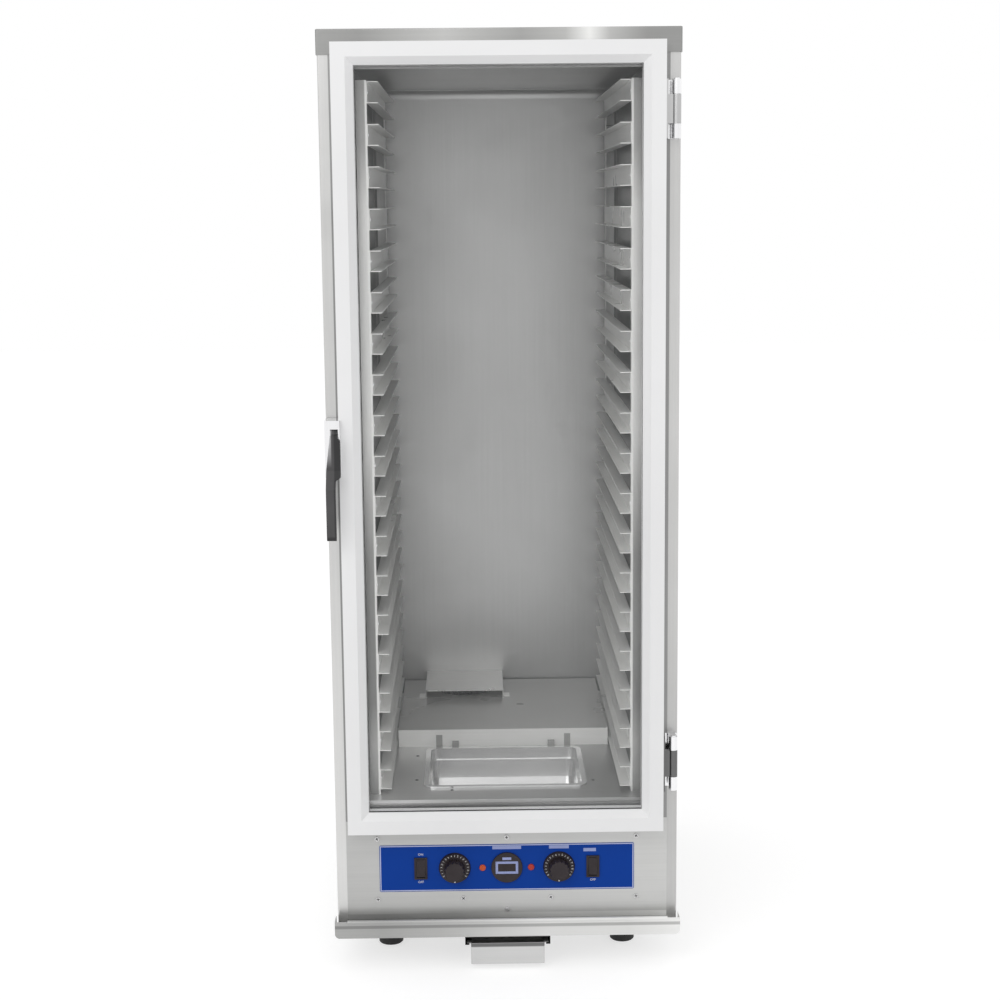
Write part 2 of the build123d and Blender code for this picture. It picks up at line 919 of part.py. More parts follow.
def hinge_door_leaves():
    """Leaves fixed to the door's edge, each with one knuckle between the two of the frame leaf."""
    with BuildPart() as leaves:
        for level in hinge_levels:
            low = level - hinge_height / 2 + end_knuckle + knuckle_gap
            high = level + hinge_height / 2 - end_knuckle - knuckle_gap
            rod((hinge_x, hinge_y, level), barrel_radius, high - low, "z")
            half_arm = barrel_radius / 2
            cuboid((door_right, hinge_y - half_arm, low), (hinge_x, hinge_y + half_arm, high))
            cuboid(
                (door_right, door_front + door_wall, level - hinge_height / 2),
                (door_right + hinge_plate, door_back - door_wall, level + hinge_height / 2),
            )
            rod((hinge_x, hinge_y, level), pin_radius + running_gap, 2 * hinge_height, "z", Mode.SUBTRACT)
    return leaves.part


def hinge_pins():
    """Hinge pins with a round cap at the top."""
    with BuildPart() as pins:
        for level in hinge_levels:
            rod((hinge_x, hinge_y, level), pin_radius, hinge_height, "z")
            cap_centre = (hinge_x, hinge_y, level + hinge_height / 2 + pin_cap / 2)
            rod(cap_centre, pin_cap_radius, pin_cap, "z")
    return pins.part


def latch_housing():
    """Latch body on the door's edge, open in front for the lever's head and behind for the magnet."""
    pocket_front = magnet_back - magnet_length - magnet_travel - 2 * gap
    half_pocket = magnet_width / 2 + gap
    with BuildPart() as housing:
        cuboid((latch_left, latch_front, latch_bottom), (door_left, latch_back, latch_top))
        cuboid((door_left, latch_front, latch_bottom), (door_left + latch_overlap, door_front, latch_top))
        fillet(housing.edges().filter_by(Axis.Z).group_by(Axis.Y)[0], bend)
        head_low = lever_pivot_z - lever_head_radius - gap
        head_high = lever_pivot_z + lever_head_radius + gap
        cuboid(
            (head_left - gap, latch_front, head_low),
            (head_right + gap, lever_pivot_y + lever_head_radius + gap, head_high),
            mode=Mode.SUBTRACT,
        )
        trunnion_length = head_right - head_left + 2 * trunnion_reach + 2 * gap
        middle = ((head_left + head_right) / 2, lever_pivot_y, lever_pivot_z)
        rod(middle, trunnion_radius + running_gap, trunnion_length, "x", Mode.SUBTRACT)
        cuboid(
            (magnet_x - half_pocket, pocket_front, magnet_low - gap),
            (magnet_x + half_pocket, latch_back, magnet_high + gap),
            mode=Mode.SUBTRACT,
        )
    return housing.part


def latch_lever():
    """Lever that hangs from a round head and is pulled outwards by its lower end."""
    tip_z = base + lever_tip_level
    shoulder_z = base + lever_shoulder_level
    grip_y = face - door_stand - latch_reach
    blade_back = latch_front - gap
    blade_front = blade_back - lever_thickness
    grip_back = grip_y + lever_thickness
    grip_top = shoulder_z - lever_shoulder_drop
    with BuildPart() as lever:
        with BuildSketch(Plane.YZ.offset(latch_left)):
            with BuildLine():
                Polyline(
                    (blade_front, lever_pivot_z),
                    (blade_back, lever_pivot_z),
                    (blade_back, shoulder_z),
                    (grip_back, grip_top),
                    (grip_back, tip_z + lever_thickness),
                    (grip_back - lever_tip_edge, tip_z),
                    (grip_y + lever_tip_edge, tip_z),
                    (grip_y, tip_z + lever_thickness),
                    (grip_y, grip_top),
                    (blade_front, shoulder_z + lever_thickness),
                    close=True,
                )
            make_face()
        extrude(amount=latch_width + latch_overlap)
        with BuildSketch(Plane.XZ.offset(-face)):
            with BuildLine():
                Polyline(
                    (head_left, lever_pivot_z),
                    (head_right, lever_pivot_z),
                    (head_right, lever_pivot_z - lever_neck),
                    (lever_right, lever_pivot_z - lever_head_radius),
                    (lever_right, shoulder_z),
                    (grip_right, shoulder_z - lever_thickness / 2),
                    (grip_right, tip_z),
                    (grip_left, tip_z),
                    (grip_left, shoulder_z + lever_thickness),
                    close=True,
                )
            make_face()
        extrude(amount=2 * total_depth, both=True, mode=Mode.INTERSECT)
        head_length = head_right - head_left
        middle = ((head_left + head_right) / 2, lever_pivot_y, lever_pivot_z)
        rod(middle, lever_head_radius, head_length, "x")
        cuboid(
            (head_left, blade_front, lever_pivot_z - lever_head_radius / 2),
            (head_right, lever_pivot_y, lever_pivot_z),
        )
        rod(middle, trunnion_radius, head_length + 2 * trunnion_reach, "x")
    return lever.part


def latch_magnet():
    """Magnet block that the lever draws back into the latch body."""
    with BuildPart() as magnet:
        cuboid(
            (magnet_x - magnet_width / 2, magnet_back - magnet_length, magnet_low),
            (magnet_x + magnet_width / 2, magnet_back, magnet_high),
        )
        chamfer(magnet.edges().filter_by(Axis.Z), magnet_edge)
    return magnet.part


def latch_strike():
    """Steel plate on the facing that the magnet holds on to."""
    with BuildPart() as strike:
        cuboid(
            (latch_left, face - strike_plate, latch_bottom),
            (latch_right - latch_overlap, face, latch_top),
        )
        fillet(strike.edges().filter_by(Axis.Y), strike_corner)
    return strike.part


def panel_cutouts(depth_from, depth_to):
    """Cut every control's opening through a sheet between two depths."""
    middle = (depth_from + depth_to) / 2
    bushing_hole = bushing_radius + bushing_hole_gap
    lamp_hole = lamp_body_radius + gap
    gauge_hole = gauge_body_radius + gap
    for side in (-1, 1):
        with Locations((side * switch_spacing, middle, control_z)):
            Box(switch_body_width + 2 * gap, through_cut, switch_body_height + 2 * gap, mode=Mode.SUBTRACT)
        rod((side * knob_spacing, middle, control_z), bushing_hole, through_cut, "y", Mode.SUBTRACT)
        rod((side * lamp_spacing, middle, control_z), lamp_hole, through_cut, "y", Mode.SUBTRACT)
    rod((0, middle, control_z), gauge_hole, through_cut, "y", Mode.SUBTRACT)


def control_panel():
    """Front plate of the control compartment, folded back along its top and bottom."""
    with BuildPart() as plate:
        cuboid((-facing_edge, face, panel_bottom), (facing_edge, face + sheet, panel_top))
        for low, high in ((panel_bottom, panel_bottom + sheet), (panel_top - sheet, panel_top)):
            cuboid((-facing_edge + bend, face, low), (facing_edge - bend, face + panel_return, high))
        panel_cutouts(face, face + sheet)
    return plate.part


def control_fascia():
    """Thin coloured overlay around the controls."""
    with BuildPart() as overlay:
        with BuildSketch(Plane.XZ.offset(-face)):
            with Locations((0, control_z)):
                RectangleRounded(fascia_width, fascia_height, fascia_corner)
        extrude(amount=fascia_sheet)
        panel_cutouts(fascia_front, face)
    return overlay.part


def switch_housings():
    """Bodies of the two rocker switches, hollow in front where the rocker tilts."""
    front = fascia_front - switch_bezel_rise
    half_bezel = switch_bezel_height / 2
    half_body = switch_body_height / 2
    half_room = rocker_height / 2 + rocker_room
    pivot_hole = rocker_width + 2 * (rocker_pivot_reach + gap)
    with BuildPart() as housings:
        for side in (-1, 1):
            x = side * switch_spacing
            cuboid(
                (x - switch_bezel_width / 2, front, control_z - half_bezel),
                (x + switch_bezel_width / 2, fascia_front, control_z + half_bezel),
            )
            cuboid(
                (x - switch_body_width / 2, fascia_front, control_z - half_body),
                (x + switch_body_width / 2, face + switch_body_depth, control_z + half_body),
            )
            cuboid(
                (x - rocker_width / 2 - gap, front, control_z - half_room),
                (x + rocker_width / 2 + gap, rocker_y + rocker_room_back, control_z + half_room),
                mode=Mode.SUBTRACT,
            )
            place = (x, rocker_y, control_z)
            rod(place, rocker_pivot_radius + running_gap, pivot_hole, "x", Mode.SUBTRACT)
    return housings.part


def rocker(side):
    """Rocker with two sloping faces and a pivot, at rest with its upper end pressed in."""
    front = fascia_front - switch_bezel_rise
    with BuildPart() as key:
        with BuildSketch(Plane.YZ.offset(side * switch_spacing - rocker_width / 2)):
            with BuildLine():
                Polyline(
                    (front - rocker_rise, control_z - rocker_height / 2),
                    (front - rocker_valley, control_z),
                    (front - rocker_rise, control_z + rocker_height / 2),
                    (rocker_y - rocker_edge_back, control_z + rocker_height / 2),
                    (rocker_y + rocker_belly, control_z),
                    (rocker_y - rocker_edge_back, control_z - rocker_height / 2),
                    close=True,
                )
            make_face()
        extrude(amount=rocker_width)
        place = (side * switch_spacing, rocker_y, control_z)
        rod(place, rocker_pivot_radius, rocker_width + 2 * rocker_pivot_reach, "x")
    pivot = Axis((0, rocker_y, control_z), (1, 0, 0))
    return key.part.rotate(pivot, -rocker_tilt)


def regulators():
    """Temperature and humidity regulators behind the panel, each with a threaded bushing through it."""
    with BuildPart() as bodies:
        for side in (-1, 1):
            x = side * knob_spacing
            cuboid(
                (x - regulator_width / 2, face + sheet, control_z - regulator_height / 2),
                (x + regulator_width / 2, face + sheet + regulator_depth, control_z + regulator_height / 2),
            )
            front = fascia_front - bushing_rise
            length = face + sheet - front
            rod((x, front + length / 2, control_z), bushing_radius, length, "y")
            bore = length + spindle_bite
            rod((x, front + bore / 2, control_z), spindle_radius + running_gap, bore, "y", Mode.SUBTRACT)
    return bodies.part


def knob(side):
    """Round knob with a numbered skirt and a fluted grip, and the spindle that it turns."""
    x = side * knob_spacing
    back_plane = Plane(origin=(x, fascia_front - knob_gap, control_z), x_dir=(1, 0, 0), z_dir=(0, -1, 0))
    with BuildPart() as dial:
        with BuildSketch(back_plane):
            Circle(skirt_radius)
        extrude(amount=skirt_height, taper=skirt_slope)
        with BuildSketch(back_plane.offset(skirt_height)):
            Circle(grip_radius)
            with PolarLocations(grip_radius + flute_out, grip_flutes):
                Circle(flute_radius, mode=Mode.SUBTRACT)
        extrude(amount=grip_height, taper=grip_slope)
        with BuildSketch(back_plane):
            Circle(bushing_radius + knob_recess_gap)
        extrude(amount=bushing_rise + gap, mode=Mode.SUBTRACT)
        with BuildSketch(back_plane):
            Circle(spindle_radius + running_gap)
        extrude(amount=skirt_height + spindle_seat, mode=Mode.SUBTRACT)
    with BuildPart() as spindle:
        front = fascia_front - knob_gap - skirt_height - spindle_seat
        end = face + sheet + spindle_bite - gap
        rod((x, (front + end) / 2, control_z), spindle_radius, end - front, "y")
    return Compound(children=[dial.part, spindle.part])


def gauge_case():
    """Round thermometer case with a recessed window in its face."""
    front = fascia_front - gauge_rise
    with BuildPart() as case:
        with BuildSketch(Plane.XZ.offset(-fascia_front)):
            with Locations((0, control_z)):
                Circle(gauge_radius)
        extrude(amount=gauge_rise)
        fillet(case.faces().sort_by(Axis.Y)[0].edges(), gauge_edge)
        with BuildSketch(Plane.XZ.offset(-fascia_front)):
            with Locations((0, control_z)):
                Circle(gauge_body_radius)
        extrude(amount=-gauge_body_depth)
        with BuildSketch(Plane.XZ.offset(-front)):
            with Locations((0, control_z)):
                Rectangle(gauge_window_width, gauge_window_height)
        extrude(amount=-gauge_window_recess - gauge_glass, mode=Mode.SUBTRACT)
    return case.part


def gauge_window():
    """Dark display window of the thermometer."""
    deep = fascia_front - gauge_rise + gauge_window_recess
    with BuildPart() as pane:
        cuboid(
            (-gauge_window_width / 2, deep, control_z - gauge_window_height / 2),
            (gauge_window_width / 2, deep + gauge_glass, control_z + gauge_window_height / 2),
        )
    return pane.part


def lamps():
    """Two indicator lamps, each with a rounded lens in front and its body behind the panel."""
    with BuildPart() as pair:
        for side in (-1, 1):
            x = side * lamp_spacing
            rod((x, fascia_front - lamp_rise / 2, control_z), lamp_radius, lamp_rise, "y")
            rod((x, fascia_front + lamp_body_depth / 2, control_z), lamp_body_radius, lamp_body_depth, "y")
        fillet(pair.faces().group_by(Axis.Y)[0].edges(), lamp_rise / 2)
    return pair.part


def screw_heads(places, way):
    """Domed screw heads on a face; way is -1 where the face looks forwards and 1 where it looks back."""
    for place in places:
        x, y, z = place
        rod((x, y + way * screw_head_rise / 2, z), screw_head_radius, screw_head_rise, "y")


def is_outer_face(flat):
    """Whether a flat face of a screw head is the one that looks away from the cabinet."""
    seats = (face, face - hinge_plate, back)
    return all(abs(flat.center().Y - seat) > screw_head_rise / 2 for seat in seats)


def screws():
    """Pan-head screws of the control panel, the hinges' frame leaves and the rear cover."""
    outer = (-outer_screw_spacing, outer_screw_spacing)
    upper = [(x, face, base + upper_screw_level) for x in (outer[0], 0, outer[1])]
    lower_x = (outer[0], -inner_screw_spacing, inner_screw_spacing, outer[1])
    lower = [(x, face, base + lower_screw_level) for x in lower_x]
    centre = [(0, face, base + centre_screw_level)]
    leaf_x = (plate_left + plate_right) / 2
    leaf_face = face - hinge_plate
    spreads = (-hinge_screw_spread, hinge_screw_spread)
    leaves = [(leaf_x, leaf_face, level + spread) for level in hinge_levels for spread in spreads]
    rear_x = (-vent_width / 2 + cover_screw_inset, 0, vent_width / 2 - cover_screw_inset)
    half_cover = vent_height / 2 - cover_screw_inset
    rear = [(x, back, base + vent_level + way * half_cover) for x in rear_x for way in (-1, 1)]
    with BuildPart() as heads:
        screw_heads(upper + lower + centre + leaves, -1)
        screw_heads(rear, 1)
        flats = heads.faces().filter_by(GeomType.PLANE)
        domes = [flat for flat in flats if is_outer_face(flat)]
        fillet([edge for dome in domes for edge in dome.edges()], screw_head_rise / 2)
    return heads.part


def gutter_strip(low, high):
    """Add the rectangle between two corners of the gutter's cross-section, given as depth and height."""
    with Locations(((low[0] + high[0]) / 2, (low[1] + high[1]) / 2)):
        Rectangle(high[0] - low[0], high[1] - low[1])


def drip_gutter():
    """Trough along the foot of the door, with a rolled lip and closed, rounded ends."""
    half = gutter_width / 2
    run = half - gutter_end_width
    bottom = base + gutter_floor
    lip_y = gutter_front + gutter_lip_radius - sheet / 2
    with BuildPart() as gutter:
        cuboid((-facing_edge, face, base), (facing_edge, face + sheet, panel_bottom))
        with BuildSketch(Plane.YZ.offset(-run)):
            gutter_strip((gutter_front, bottom), (face, bottom + sheet))
            gutter_strip((gutter_front, base), (gutter_front + sheet, base + gutter_wall))
            gutter_strip((gutter_front, base), (gutter_front + gutter_hem, base + sheet))
            with Locations((lip_y, base + gutter_lip_level)):
                Circle(gutter_lip_radius)
        extrude(amount=2 * run)
        for side in (-1, 1):
            inner = side * run
            outer = side * half
            with BuildSketch(Plane.XZ.offset(-face)) as end_outline:
                with Locations(((inner + outer) / 2, base + gutter_end_height / 2)):
                    Rectangle(gutter_end_width, gutter_end_height)
                corners = end_outline.vertices().sort_by(Axis.X)
                outer_corners = corners[-2:] if side > 0 else corners[:2]
                fillet(outer_corners.sort_by(Axis.Y)[0], gutter_corner)
            extrude(amount=gutter_reach)
            hollow = outer - side * sheet
            cuboid(
                (min(inner, hollow), gutter_front + sheet, bottom + sheet),
                (max(inner, hollow), face, base + gutter_end_height),
                mode=Mode.SUBTRACT,
            )
        drain = (0, gutter_front + gutter_reach / 2, bottom)
        rod(drain, drain_radius, through_cut, "z", Mode.SUBTRACT)
    return gutter.part


def tray_holder():
    """Channel under the base whose inward lips carry the rims of the drip tray."""
    half = holder_width / 2
    low = base - holder_height
    with BuildPart() as holder:
        cuboid((-half, holder_front, base - holder_sheet), (half, holder_front + holder_depth, base))
        for side in (-1, 1):
            wall = side * (half - holder_sheet)
            lip = side * (half - holder_lip)
            edge = side * half
            cuboid(
                (min(wall, edge), holder_front, low),
                (max(wall, edge), holder_front + holder_depth, base),
            )
            cuboid(
                (min(lip, edge), holder_front, low),
                (max(lip, edge), holder_front + holder_depth, low + holder_sheet),
            )
        cuboid(
            (-half, holder_front + holder_depth - holder_sheet, low),
            (half, holder_front + holder_depth, base),
        )
    return holder.part


def drip_tray():
    """Open tray that hangs by its side rims in the holder and slides out to the front."""
    rim_low = base - holder_height + holder_sheet + gap
    bottom = rim_low - tray_drop
    half = tray_width / 2
    tray_back = holder_front + tray_depth
    with BuildPart() as tray:
        cuboid((-half, holder_front, bottom), (half, tray_back, rim_low + sheet))
        fillet(tray.edges().filter_by(Axis.Z), bend)
        offset(amount=-sheet, openings=tray.faces().sort_by(Axis.Z)[-1])
        for side in (-1, 1):
            rim = side * (half + tray_rim)
            inner = side * (half - sheet)
            cuboid(
                (min(rim, inner), holder_front + bend, rim_low),
                (max(rim, inner), tray_back - bend, rim_low + sheet),
            )
    return tray.part


def foot_places():
    """Centres of the four feet."""
    front_y = face + foot_inset_y
    rear_y = back - foot_inset_y
    return [(x, y) for x in (-foot_spread_x, foot_spread_x) for y in (front_y, rear_y)]


def feet():
    """Four round feet with a waist, bored from above for their studs."""
    with BuildPart() as group:
        for x, y in foot_places():
            with BuildSketch(Plane(origin=(x, y, 0), x_dir=(1, 0, 0), z_dir=(0, -1, 0))):
                with BuildLine():
                    Polyline(
                        (0, 0),
                        (foot_radius - foot_edge, 0),
                        (foot_radius, foot_edge),
                        (foot_radius, foot_rim_height),
                        (foot_waist_radius, foot_waist_low),
                        (foot_waist_radius, foot_waist_high),
                        (foot_collar_radius, foot_collar_low),
                        (foot_collar_radius, foot_height),
                        (0, foot_height),
                        close=True,
                    )
                make_face()
            revolve(axis=Axis((x, y, 0), (0, 0, 1)))
            bore_middle = (x, y, foot_height - foot_stud_bite / 2)
            rod(bore_middle, foot_stud_radius + running_gap, foot_stud_bite, "z", Mode.SUBTRACT)
    return group.part


def foot_studs():
    """Studs that hold the feet to the base, each with a hexagonal nut inside it."""
    with BuildPart() as group:
        for x, y in foot_places():
            low = base - foot_stud_bite + gap
            high = base + sheet + foot_nut_height + sheet
            rod((x, y, (low + high) / 2), foot_stud_radius, high - low, "z")
            with BuildSketch(Plane.XY.offset(base + sheet)):
                with Locations((x, y)):
                    RegularPolygon(foot_nut_radius, 6)
            extrude(amount=foot_nut_height)
    return group.part


def rear_cover():
    """Cover of the service opening in the back, with rows of raised louvres and the cord's hole."""
    middle = base + vent_level
    with BuildPart() as cover:
        cuboid(
            (-vent_width / 2, back - sheet, middle - vent_height / 2),
            (vent_width / 2, back, middle + vent_height / 2),
        )
        for column in (-1, 0):
            x = column * (louvre_length + louvre_gap) - louvre_shift + (louvre_length + louvre_gap) / 2
            for row in range(louvre_rows):
                z = middle + (row - (louvre_rows - 1) / 2) * louvre_pitch
                with BuildSketch(Plane.YZ.offset(x - louvre_length / 2)):
                    with BuildLine():
                        Polyline(
                            (back - sheet, z + louvre_height),
                            (back + louvre_rise, z),
                            (back - sheet, z),
                            close=True,
                        )
                    make_face()
                extrude(amount=louvre_length)
                with BuildSketch(Plane.YZ.offset(x - louvre_length / 2 + sheet)):
                    with BuildLine():
                        Polyline(
                            (back - sheet, z + louvre_height - 2 * sheet),
                            (back + louvre_rise - 2 * sheet, z),
                            (back - sheet, z),
                            close=True,
                        )
                    make_face()
                extrude(amount=louvre_length - 2 * sheet, mode=Mode.SUBTRACT)
        rod((gland_offset, back, middle), gland_hole_radius, through_cut, "y", Mode.SUBTRACT)
    return cover.part


def cord_gland():
    """Bushing for the supply cord in the rear cover."""
    middle = base + vent_level
    with BuildPart() as gland:
        rod((gland_offset, back + rear_reach / 2, middle), gland_radius, rear_reach, "y")
        chamfer(gland.faces().sort_by(Axis.Y)[-1].edges(), gland_edge)
        inner = sheet + rear_reach
        rod((gland_offset, back - inner / 2, middle), gland_hole_radius - running_gap, inner, "y")
        rod((gland_offset, back - sheet - gland_nut / 2, middle), gland_radius, gland_nut, "y")
        bore = 2 * (rear_reach + inner)
        rod((gland_offset, back, middle), gland_bore_radius, bore, "y", Mode.SUBTRACT)
    return gland.part


def terminal_block():
    """Terminal block on the base, with a well for each screw."""
    y = back - rear_wall - terminal_depth
    low = base + sheet
    with BuildPart() as block:
        cuboid(
            (gland_offset - terminal_width / 2, y - terminal_depth / 2, low),
            (gland_offset + terminal_width / 2, y + terminal_depth / 2, low + terminal_height),
        )
        with BuildSketch(Plane.XY.offset(low + terminal_height)):
            with Locations((gland_offset, y)):
                with GridLocations(terminal_width / (terminal_ways + 1), 1, terminal_ways, 1):
                    Circle(terminal_well_radius)
        extrude(amount=-terminal_well_depth, mode=Mode.SUBTRACT)
    return block.part


os.makedirs("parts", exist_ok=True)

finish(side_skin(-1), "side_panel_left")
finish(side_skin(1), "side_panel_right")
finish(rear_skin(), "back_panel")
finish(cap(), "top_cap")
finish(door_surround(), "front_frame")
finish(base_tray(), "base_pan")
finish(liner_wall(-1), "liner_left")
finish(liner_wall(1), "liner_right")
finish(liner_rear(), "liner_back")
finish(liner_top(), "liner_ceiling")
finish(heated_floor(), "cavity_floor")
finish(insulation_slabs(), "insulation")

finish(uprights(-1), "uprights_left")
finish(uprights(1), "uprights_right")
finish(slides(-1), "pan_slides_left")
finish(slides(1), "pan_slides_right")
finish(rivets(), "slide_rivets")
finish(rack_studs(), "rack_studs")

finish(air_duct(), "duct_cover")
finish(inlet_hood(), "inlet_hood")
finish(blower_rotor(), "blower_wheel")
finish(fan_motor(), "blower_motor")
finish(duct_heater(), "air_heater")
finish(pan_heater(), "pan_heater")
finish(water_pan(), "water_pan")

door_height = door_top - door_bottom
door_width = door_right - door_left
lower_left = (door_left, door_front, door_bottom)
upper_left = (door_left, door_front, door_top)
lower_right = (door_right, door_front, door_bottom)
upper_right = (door_right, door_front, door_top)
finish(door_member(lower_left, (0, 0, 1), (1, 0, 0), door_height), "door_stile_left")
finish(door_member(upper_left, (1, 0, 0), (0, 0, -1), door_width), "door_rail_top")
finish(door_member(upper_right, (0, 0, -1), (-1, 0, 0), door_height), "door_stile_right")
finish(door_member(lower_right, (-1, 0, 0), (0, 0, 1), door_width), "door_rail_bottom")
finish(window(), "door_window")
finish(glazing_gasket(), "glazing_gasket")
finish(door_seal(), "door_seal")
finish(hinge_frame_leaves(), "hinge_frame_leaves")
finish(hinge_door_leaves(), "hinge_door_leaves")
finish(hinge_pins(), "hinge_pins")
finish(latch_housing(), "latch_housing")
finish(latch_lever(), "latch_lever")
finish(latch_magnet(), "latch_magnet")
finish(latch_strike(), "latch_strike")

finish(control_panel(), "control_panel")
finish(control_fascia(), "control_fascia")
finish(switch_housings(), "switch_housings")
finish(rocker(-1), "power_rocker")
finish(rocker(1), "mode_rocker")
finish(regulators(), "regulators")
finish(knob(-1), "temperature_knob")
finish(knob(1), "humidity_knob")
finish(gauge_case(), "thermometer_case")
finish(gauge_window(), "thermometer_window")
finish(lamps(), "indicator_lamps")
finish(screws(), "screws")

finish(drip_gutter(), "drip_gutter")
finish(tray_holder(), "tray_holder")
finish(drip_tray(), "drip_tray")
finish(feet(), "feet")
finish(foot_studs(), "foot_studs")
finish(rear_cover(), "rear_cover")
finish(cord_gland(), "cord_gland")
finish(terminal_block(), "terminal_block")
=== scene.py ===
import json
import math
import random

import bmesh
import bpy
from mathutils import Matrix, Vector
from mathutils.bvhtree import BVHTree


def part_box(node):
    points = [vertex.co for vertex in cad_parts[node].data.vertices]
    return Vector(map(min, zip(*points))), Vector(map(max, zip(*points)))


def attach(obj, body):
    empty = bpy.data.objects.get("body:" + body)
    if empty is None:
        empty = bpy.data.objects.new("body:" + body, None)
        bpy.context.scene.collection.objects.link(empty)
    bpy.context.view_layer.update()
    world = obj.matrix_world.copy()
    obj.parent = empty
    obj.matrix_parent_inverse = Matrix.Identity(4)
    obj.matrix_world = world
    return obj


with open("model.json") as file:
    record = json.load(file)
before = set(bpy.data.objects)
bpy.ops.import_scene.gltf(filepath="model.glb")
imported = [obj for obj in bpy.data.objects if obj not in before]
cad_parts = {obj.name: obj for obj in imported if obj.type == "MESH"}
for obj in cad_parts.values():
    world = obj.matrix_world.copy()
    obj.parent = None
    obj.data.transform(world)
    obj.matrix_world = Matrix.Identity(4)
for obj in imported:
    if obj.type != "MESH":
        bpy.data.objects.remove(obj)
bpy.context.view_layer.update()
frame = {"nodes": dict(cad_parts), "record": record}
NODES = frame["nodes"]
random.seed(7)

# Millimetres, for the sizes of the small pieces that are added here
MM = 0.001

# Studio: the background as seen and as light, the lamp, and the floor as a reflector and as seen
BACKGROUND = 1.0
AMBIENT = 0.84
KEY_POWER = 34.0
KEY_SIZE = 2.4
KEY_PLACE = (-1.6, -3.6, 3.4)
KEY_AIM = (0, 0, 0.9)
FLOOR_SIZE = 30.0
FLOOR_ALBEDO = 0.8
FLOOR_SEEN_ALBEDO = 0.5
FLOOR_GLOW = 0.62

# Camera: place and reach in metres, turns in degrees, focal length and sensor width in millimetres
CAMERA_PLACE = (-0.0491, -3.7395, 1.4516)
CAMERA_YAW = 0.727
CAMERA_PITCH = 9.189
CAMERA_ROLL = 0.556
CAMERA_LENS = 66.17
CAMERA_REACH = 100.0
SENSOR = 36.0

# Noise of the finishes, in waves per metre
GRAIN_ACROSS = 260.0
GRAIN_ALONG = 3.0
METAL_CLOUDS = 3.2
WORN_PATCHES = 2.1
ORANGE_PEEL = 900.0
DUST = 26.0
LEVER_DUST = 30.0
MOULD_GRAIN = 2400.0
SMEARS = 2.0
SPARKLE = 420.0

# Height of the bumps of the finishes, in metres
GRAIN_DEPTH = 0.0004
PEEL_DEPTH = 0.0002
MOULD_DEPTH = 0.0001
SPARKLE_DEPTH = 0.0006

# Reach of the broad tones, in metres, and where on it the side skins change tone; all these tones but the
# lamps' hue are painted light and shade
CABINET_HALF = 0.33
CAVITY_HALF = 0.27
SKIN_REACH = 1.8
SKIN_FADE_LOW = 0.62
SKIN_FADE_HIGH = 0.75
HINGE_REACH = 1.6
RACK_FOLD = (0.236, 0.262)
RACK_HEIGHTS = (0.3, 1.7)
LEVER_SIDES = (-0.322, -0.296)
LEVER_HEAD = (0.98, 1.05)
LEVER_FOOT = (0.846, 0.864)
LAMP_X = 0.0465

# Printed marks: how far they stand proud of the surface, and how far they reach into it
PRINT_RISE = 0.12 * MM
PRINT_BITE = 0.10 * MM

# Control panel
CONTROL_LEVEL = 193 * MM
KNOB_X = 100 * MM
SWITCH_X = 165 * MM
FASCIA_HALF_WIDTH = 244 * MM
FASCIA_HALF_HEIGHT = 46.3 * MM
FASCIA_BORDER = 1.8 * MM
FASCIA_INSET = 2.2 * MM
PLATE_HEIGHT = 6.5 * MM
CAPTION_SIZE = 6.4 * MM
CAPTION_OFFSET = 27.5 * MM

# Bare caption plates: place across the panel, height above its middle and width
CAPTION_PLATES = (
    (0, 39.5 * MM, 55 * MM),
    (KNOB_X, 39.5 * MM, 38 * MM),
    (SWITCH_X - 6 * MM, 33 * MM, 24 * MM),
)

# Dials: numbers from the start of the scale on the lower left, clockwise, with ticks between them
DIAL_NUMBERS = 10
DIAL_START = math.radians(215)
DIAL_SWEEP = math.radians(250)
DIAL_FOOT = math.radians(-90)
MARK_RADIUS = 25.6 * MM
DIGIT_SIZE = 5.4 * MM
TICK_SIZE = (0.7 * MM, 3.4 * MM)
INDEX_SIZE = (2.6 * MM, 4.4 * MM)

# Display: outer and inner size of its border, and the bare plate above it
DISPLAY_OUTER = (43.6 * MM, 25 * MM)
DISPLAY_INNER = (34 * MM, 15.5 * MM)
GAUGE_PLATE_SIZE = (17 * MM, 5 * MM)
GAUGE_PLATE_RISE = 18.5 * MM

# Screws of the panel: where they sit, and half the length and half the width of the slots of a cross recess
SCREW_OUTER_X = 248 * MM
SCREW_INNER_X = 84 * MM
SCREW_UPPER_LEVEL = 253 * MM
SCREW_LOWER_LEVEL = 132 * MM
CROSS_REACH = 3.0 * MM
CROSS_HALF = 0.75 * MM

# Air duct: depth of its front face, and the distances in front of it between which painted shade darkens a
# fold
DUCT_FACE = -14.5 * MM
FOLD_NEAR = 0.2 * MM
FOLD_FAR = 1.0 * MM

# Drip gutter and tray: levels of the painted shade in the groove under the rolled lip, and height of the
# painted shadow under the holder
LIP_GROOVE = (0.0850, 0.0915)
TRAY_SHADE = 8 * MM

# Rivets of the cavity floor: level they stand on, size and facets of a head, and their places in metres
FLOOR_LEVEL = 327 * MM
RIVET_RADIUS = 3.4 * MM
RIVET_RISE = 1.3 * MM
RIVET_RINGS = 4
RIVET_SEGMENTS = 16
FLOOR_RIVETS = ((-0.1769, -0.0806), (-0.1741, -0.2404), (-0.1042, -0.3061), (0.1729, -0.2557))


